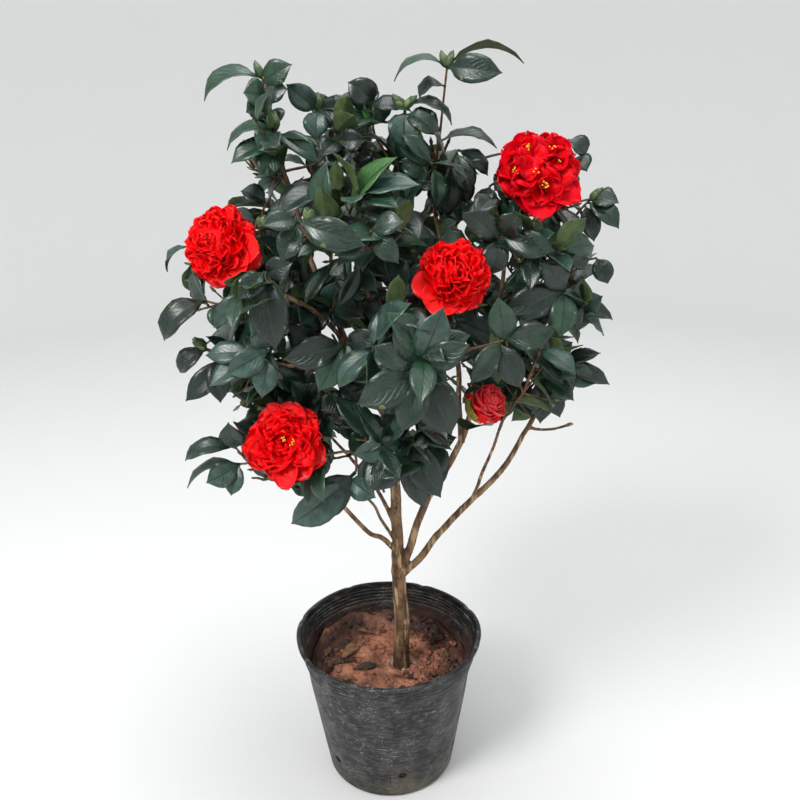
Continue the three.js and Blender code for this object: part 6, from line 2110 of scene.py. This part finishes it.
# Looks: darker and paler colour, then roughness; plain ones have the size of their patches before it, and
# may have the strength and depth of their bumps after it
LEAF_LOOKS = {
    "leaf_dark": [(8, 24, 18), (20, 42, 32), 0.34],
    "leaf_deep": [(14, 36, 26), (29, 57, 42), 0.33],
    "leaf_middle": [(23, 52, 36), (43, 78, 56), 0.35],
    "leaf_grey": [(31, 56, 48), (60, 91, 80), 0.38],
    "leaf_fresh": [(38, 80, 32), (66, 110, 48), 0.34],
}
PLAIN_LOOKS = {
    "leaf_midrib": [(24, 44, 32), (44, 66, 46), 200, 0.4],
    "twig": [(82, 58, 42), (122, 92, 66), 160, 0.65, 0.5, 0.4],
    "soil_under": [(30, 20, 16), (58, 38, 30), 90, 0.9, 0.6, 1.0],
    "dead_leaf": [(30, 24, 20), (78, 58, 40), 130, 0.42, 0.5, 0.5],
    "straw": [(88, 60, 40), (138, 102, 70), 120, 0.6],
    "anther": [(232, 160, 20), (250, 205, 60), 500, 0.6],
    "filament": [(226, 120, 70), (240, 180, 90), 300, 0.5],
    "sepal": [(126, 122, 44), (196, 176, 70), 140, 0.5],
    "bud_scale": [(46, 66, 44), (80, 98, 64), 160, 0.42],
    "bud_pale": [(76, 94, 56), (118, 132, 84), 160, 0.42],
}
# Petals: colour at the foot (painted shade where petals crowd), of the body, and at the edge (painted
# highlight)
PETAL_LOOKS = {
    "petal": [(206, 0, 6), (240, 2, 10), (252, 62, 56)],
    "guard_petal": [(204, 4, 12), (240, 30, 32), (250, 110, 102)],
    "crimson_petal": [(190, 0, 12), (228, 2, 20), (246, 52, 66)],
    "crimson_guard_petal": [(190, 0, 14), (232, 6, 28), (246, 70, 84)],
    # Brighter copies of the petal colours: painted light for blooms that sit in shade
    "extra_lit_petal": [(228, 2, 8), (252, 8, 16), (255, 72, 64)],
    "extra_lit_guard_petal": [(226, 6, 14), (255, 36, 38), (255, 124, 116)],
    # Paler pink copies: painted light, standing for sunlight on a bloom in shade
    "sunlit_petal": [(255, 20, 34), (255, 56, 66), (255, 136, 130)],
    "sunlit_guard_petal": [(255, 24, 38), (255, 66, 74), (255, 156, 146)],
}


def make_paints():
    paints = {
        "leaf_under": leaf_back("leaf_under", linear(58, 78, 44), linear(92, 108, 64)),
        "bark": bark_paint(),
        "plastic": plastic_paint("plastic", False),
        "plastic_inside": plastic_paint("plastic_inside", True),
        "soil": soil_paint(),
    }
    for make, looks in ((leaf_top, LEAF_LOOKS), (plain_paint, PLAIN_LOOKS), (petal_paint, PETAL_LOOKS)):
        for name, look in looks.items():
            values = [linear(*value) if isinstance(value, tuple) else value for value in look]
            paints[name] = make(name, *values)
    return paints


# Plant
def make_blossom(paints):
    for k, bloom in enumerate(BLOOMS):
        tint = BLOOM_STYLES[bloom["mass"]].get("tint", "")
        names = [tint + "petal", tint + "guard_petal", "anther", "filament", "sepal"]
        piece = Piece()
        blossom(piece, bloom, seeded(SEEDS["bloom"] + SEEDS["bloom_step"] * k))
        thing = piece.build("bloom_" + bloom["mass"], [paints[name] for name in names])
        replace(thing, [bloom["mass"]])


def make_buds(plants, paints):
    """Flower buds on the named shoots and small leaf buds on the others, one piece for each mass."""
    for plant in plants:
        draw = seeded(plant["mass"]["seed"] * SEEDS["buds"] + 3)
        piece = Piece()
        for twig in plant["twigs"][1:]:
            if "bloom" in twig["goal"]:
                continue
            axis = directions(twig["points"])[-1]
            if "placed" in twig["goal"]:
                for place in twig["goal"]["buds"]:
                    root = twig["points"][-1]
                    bud(piece, root, unit(place - root + axis * 2), SLENDER_BUD, [0, 0, 1], draw)
                continue
            foot = twig["points"][-1] - axis * 0.6
            if twig["goal"]["bud"]:
                bud(piece, foot, unit(axis + 0.4 * UP), BUD, [0, 0, 1], draw)
            else:
                bud(piece, foot, axis, LEAF_BUD, [0, 0, 1], draw)
        thing = piece.build("buds_" + plant["mass"]["name"], [paints["bud_scale"], paints["bud_pale"]])
        replace(thing, [plant["mass"]["name"]])


def make_plant(paints):
    limbs = grow_limbs()
    plants = [grow_mass(mass, limbs) for mass in MASSES]
    for plant in plants:
        grow_fine(plant)
        cut_back(plant)
    grow_shoots(plants)
    grow_fills(plants)
    for plant in plants:
        plant["leaves"][:] = [leaf for leaf in plant["leaves"]
                              if not in_petals(leaf["samples"].reshape(-1, 3))]
    make_limbs(limbs, paints)
    for plant in plants:
        dress_mass(plant, paints)
    make_buds(plants, paints)
    make_blossom(paints)


# Floor, light and camera
SENSOR = 36
SKY = {"Color": (0.93, 0.96, 1.0, 1), "Strength": 0.9}
# Lamps: place, what they point at, size and power
LAMPS = {
    "key": [(-1.05, -1.1, 1.9), (0, 0, 0.4), 0.8, 34],
    "top": [(0.3, 0.1, 2.2), (0, 0, 0.3), 1.2, 16],
    "fill": [(1.4, -1.0, 0.8), (0, 0, 0.4), 1.2, 3],
}
FLOOR = {"flat": 2100, "bend": 900, "height": 3600, "turns": 96}


def make_floor():
    """A pale studio floor that rises into a wall all round, well behind every camera."""
    paint = Paint("floor")
    shade = paint.mix(paint.noise(0.6, 1), (0.75, 0.75, 0.74), (0.77, 0.77, 0.76))
    paint.set(Base_Color=shade, Roughness=0.8, Specular_IOR_Level=0.15)
    flat, bend, turns = FLOOR["flat"], FLOOR["bend"], FLOOR["turns"]
    profile = [(1, 0), (flat / 2, 0)]
    angles = np.linspace(0, math.pi / 2, 14)
    profile += [(flat + bend * math.sin(angle), bend - bend * math.cos(angle)) for angle in angles]
    profile += [(flat + bend, FLOOR["height"])]
    radius, height = (np.array(column, float)[:, None] for column in zip(*profile))
    turn = np.arange(turns)[None] * 2 * math.pi / turns
    places = np.stack(np.broadcast_arrays(radius * np.cos(turn), radius * np.sin(turn), height), -1)
    piece = Piece()
    middle = fan_quads(0, turns, len(profile) * turns, False)
    quads = np.vstack([ring_quads(len(profile), turns)[:, ::-1], middle])
    piece.add(np.vstack([places.reshape(-1, 3), [[0, 0, 0]]]), quads, 0)
    piece.build("floor", [paint.material])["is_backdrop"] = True


def area_light(name, place, target, size, power):
    data = bpy.data.lights.new(name, "AREA")
    data.shape, data.size, data.energy = "DISK", size, power
    light = bpy.data.objects.new(name, data)
    light.location = place
    light.rotation_euler = (Vector(target) - Vector(place)).to_track_quat("-Z", "Y").to_euler()
    bpy.context.scene.collection.objects.link(light)


def make_light():
    world = bpy.data.worlds.new("studio")
    world.use_nodes = True
    background = world.node_tree.nodes["Background"]
    for name, value in SKY.items():
        background.inputs[name].default_value = value
    bpy.context.scene.world = world
    for name, lamp in LAMPS.items():
        area_light(name, *lamp)


def make_camera():
    data = bpy.data.cameras.new("camera")
    data.sensor_fit, data.sensor_width = "HORIZONTAL", SENSOR
    data.lens = SENSOR * FOCAL_PIXELS / FRAME_PIXELS
    data.clip_start = 0.01
    camera = bpy.data.objects.new("camera", data)
    camera.matrix_world = Matrix.Translation(Vector(EYE) * MM) @ Matrix(CAMERA_AXES.T.tolist()).to_4x4()
    bpy.context.scene.collection.objects.link(camera)
    bpy.context.scene.camera = camera


def corners(box):
    return [list(corner) for corner in box]


def main():
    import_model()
    solid_box = corners(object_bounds())
    paints = make_paints()
    make_plant(paints)
    make_pot(paints)
    make_soil(paints)
    make_floor()
    make_light()
    make_camera()
    bpy.context.scene.view_settings.view_transform = "Standard"
    {"solids": solid_box, "dressed": corners(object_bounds())}


main()
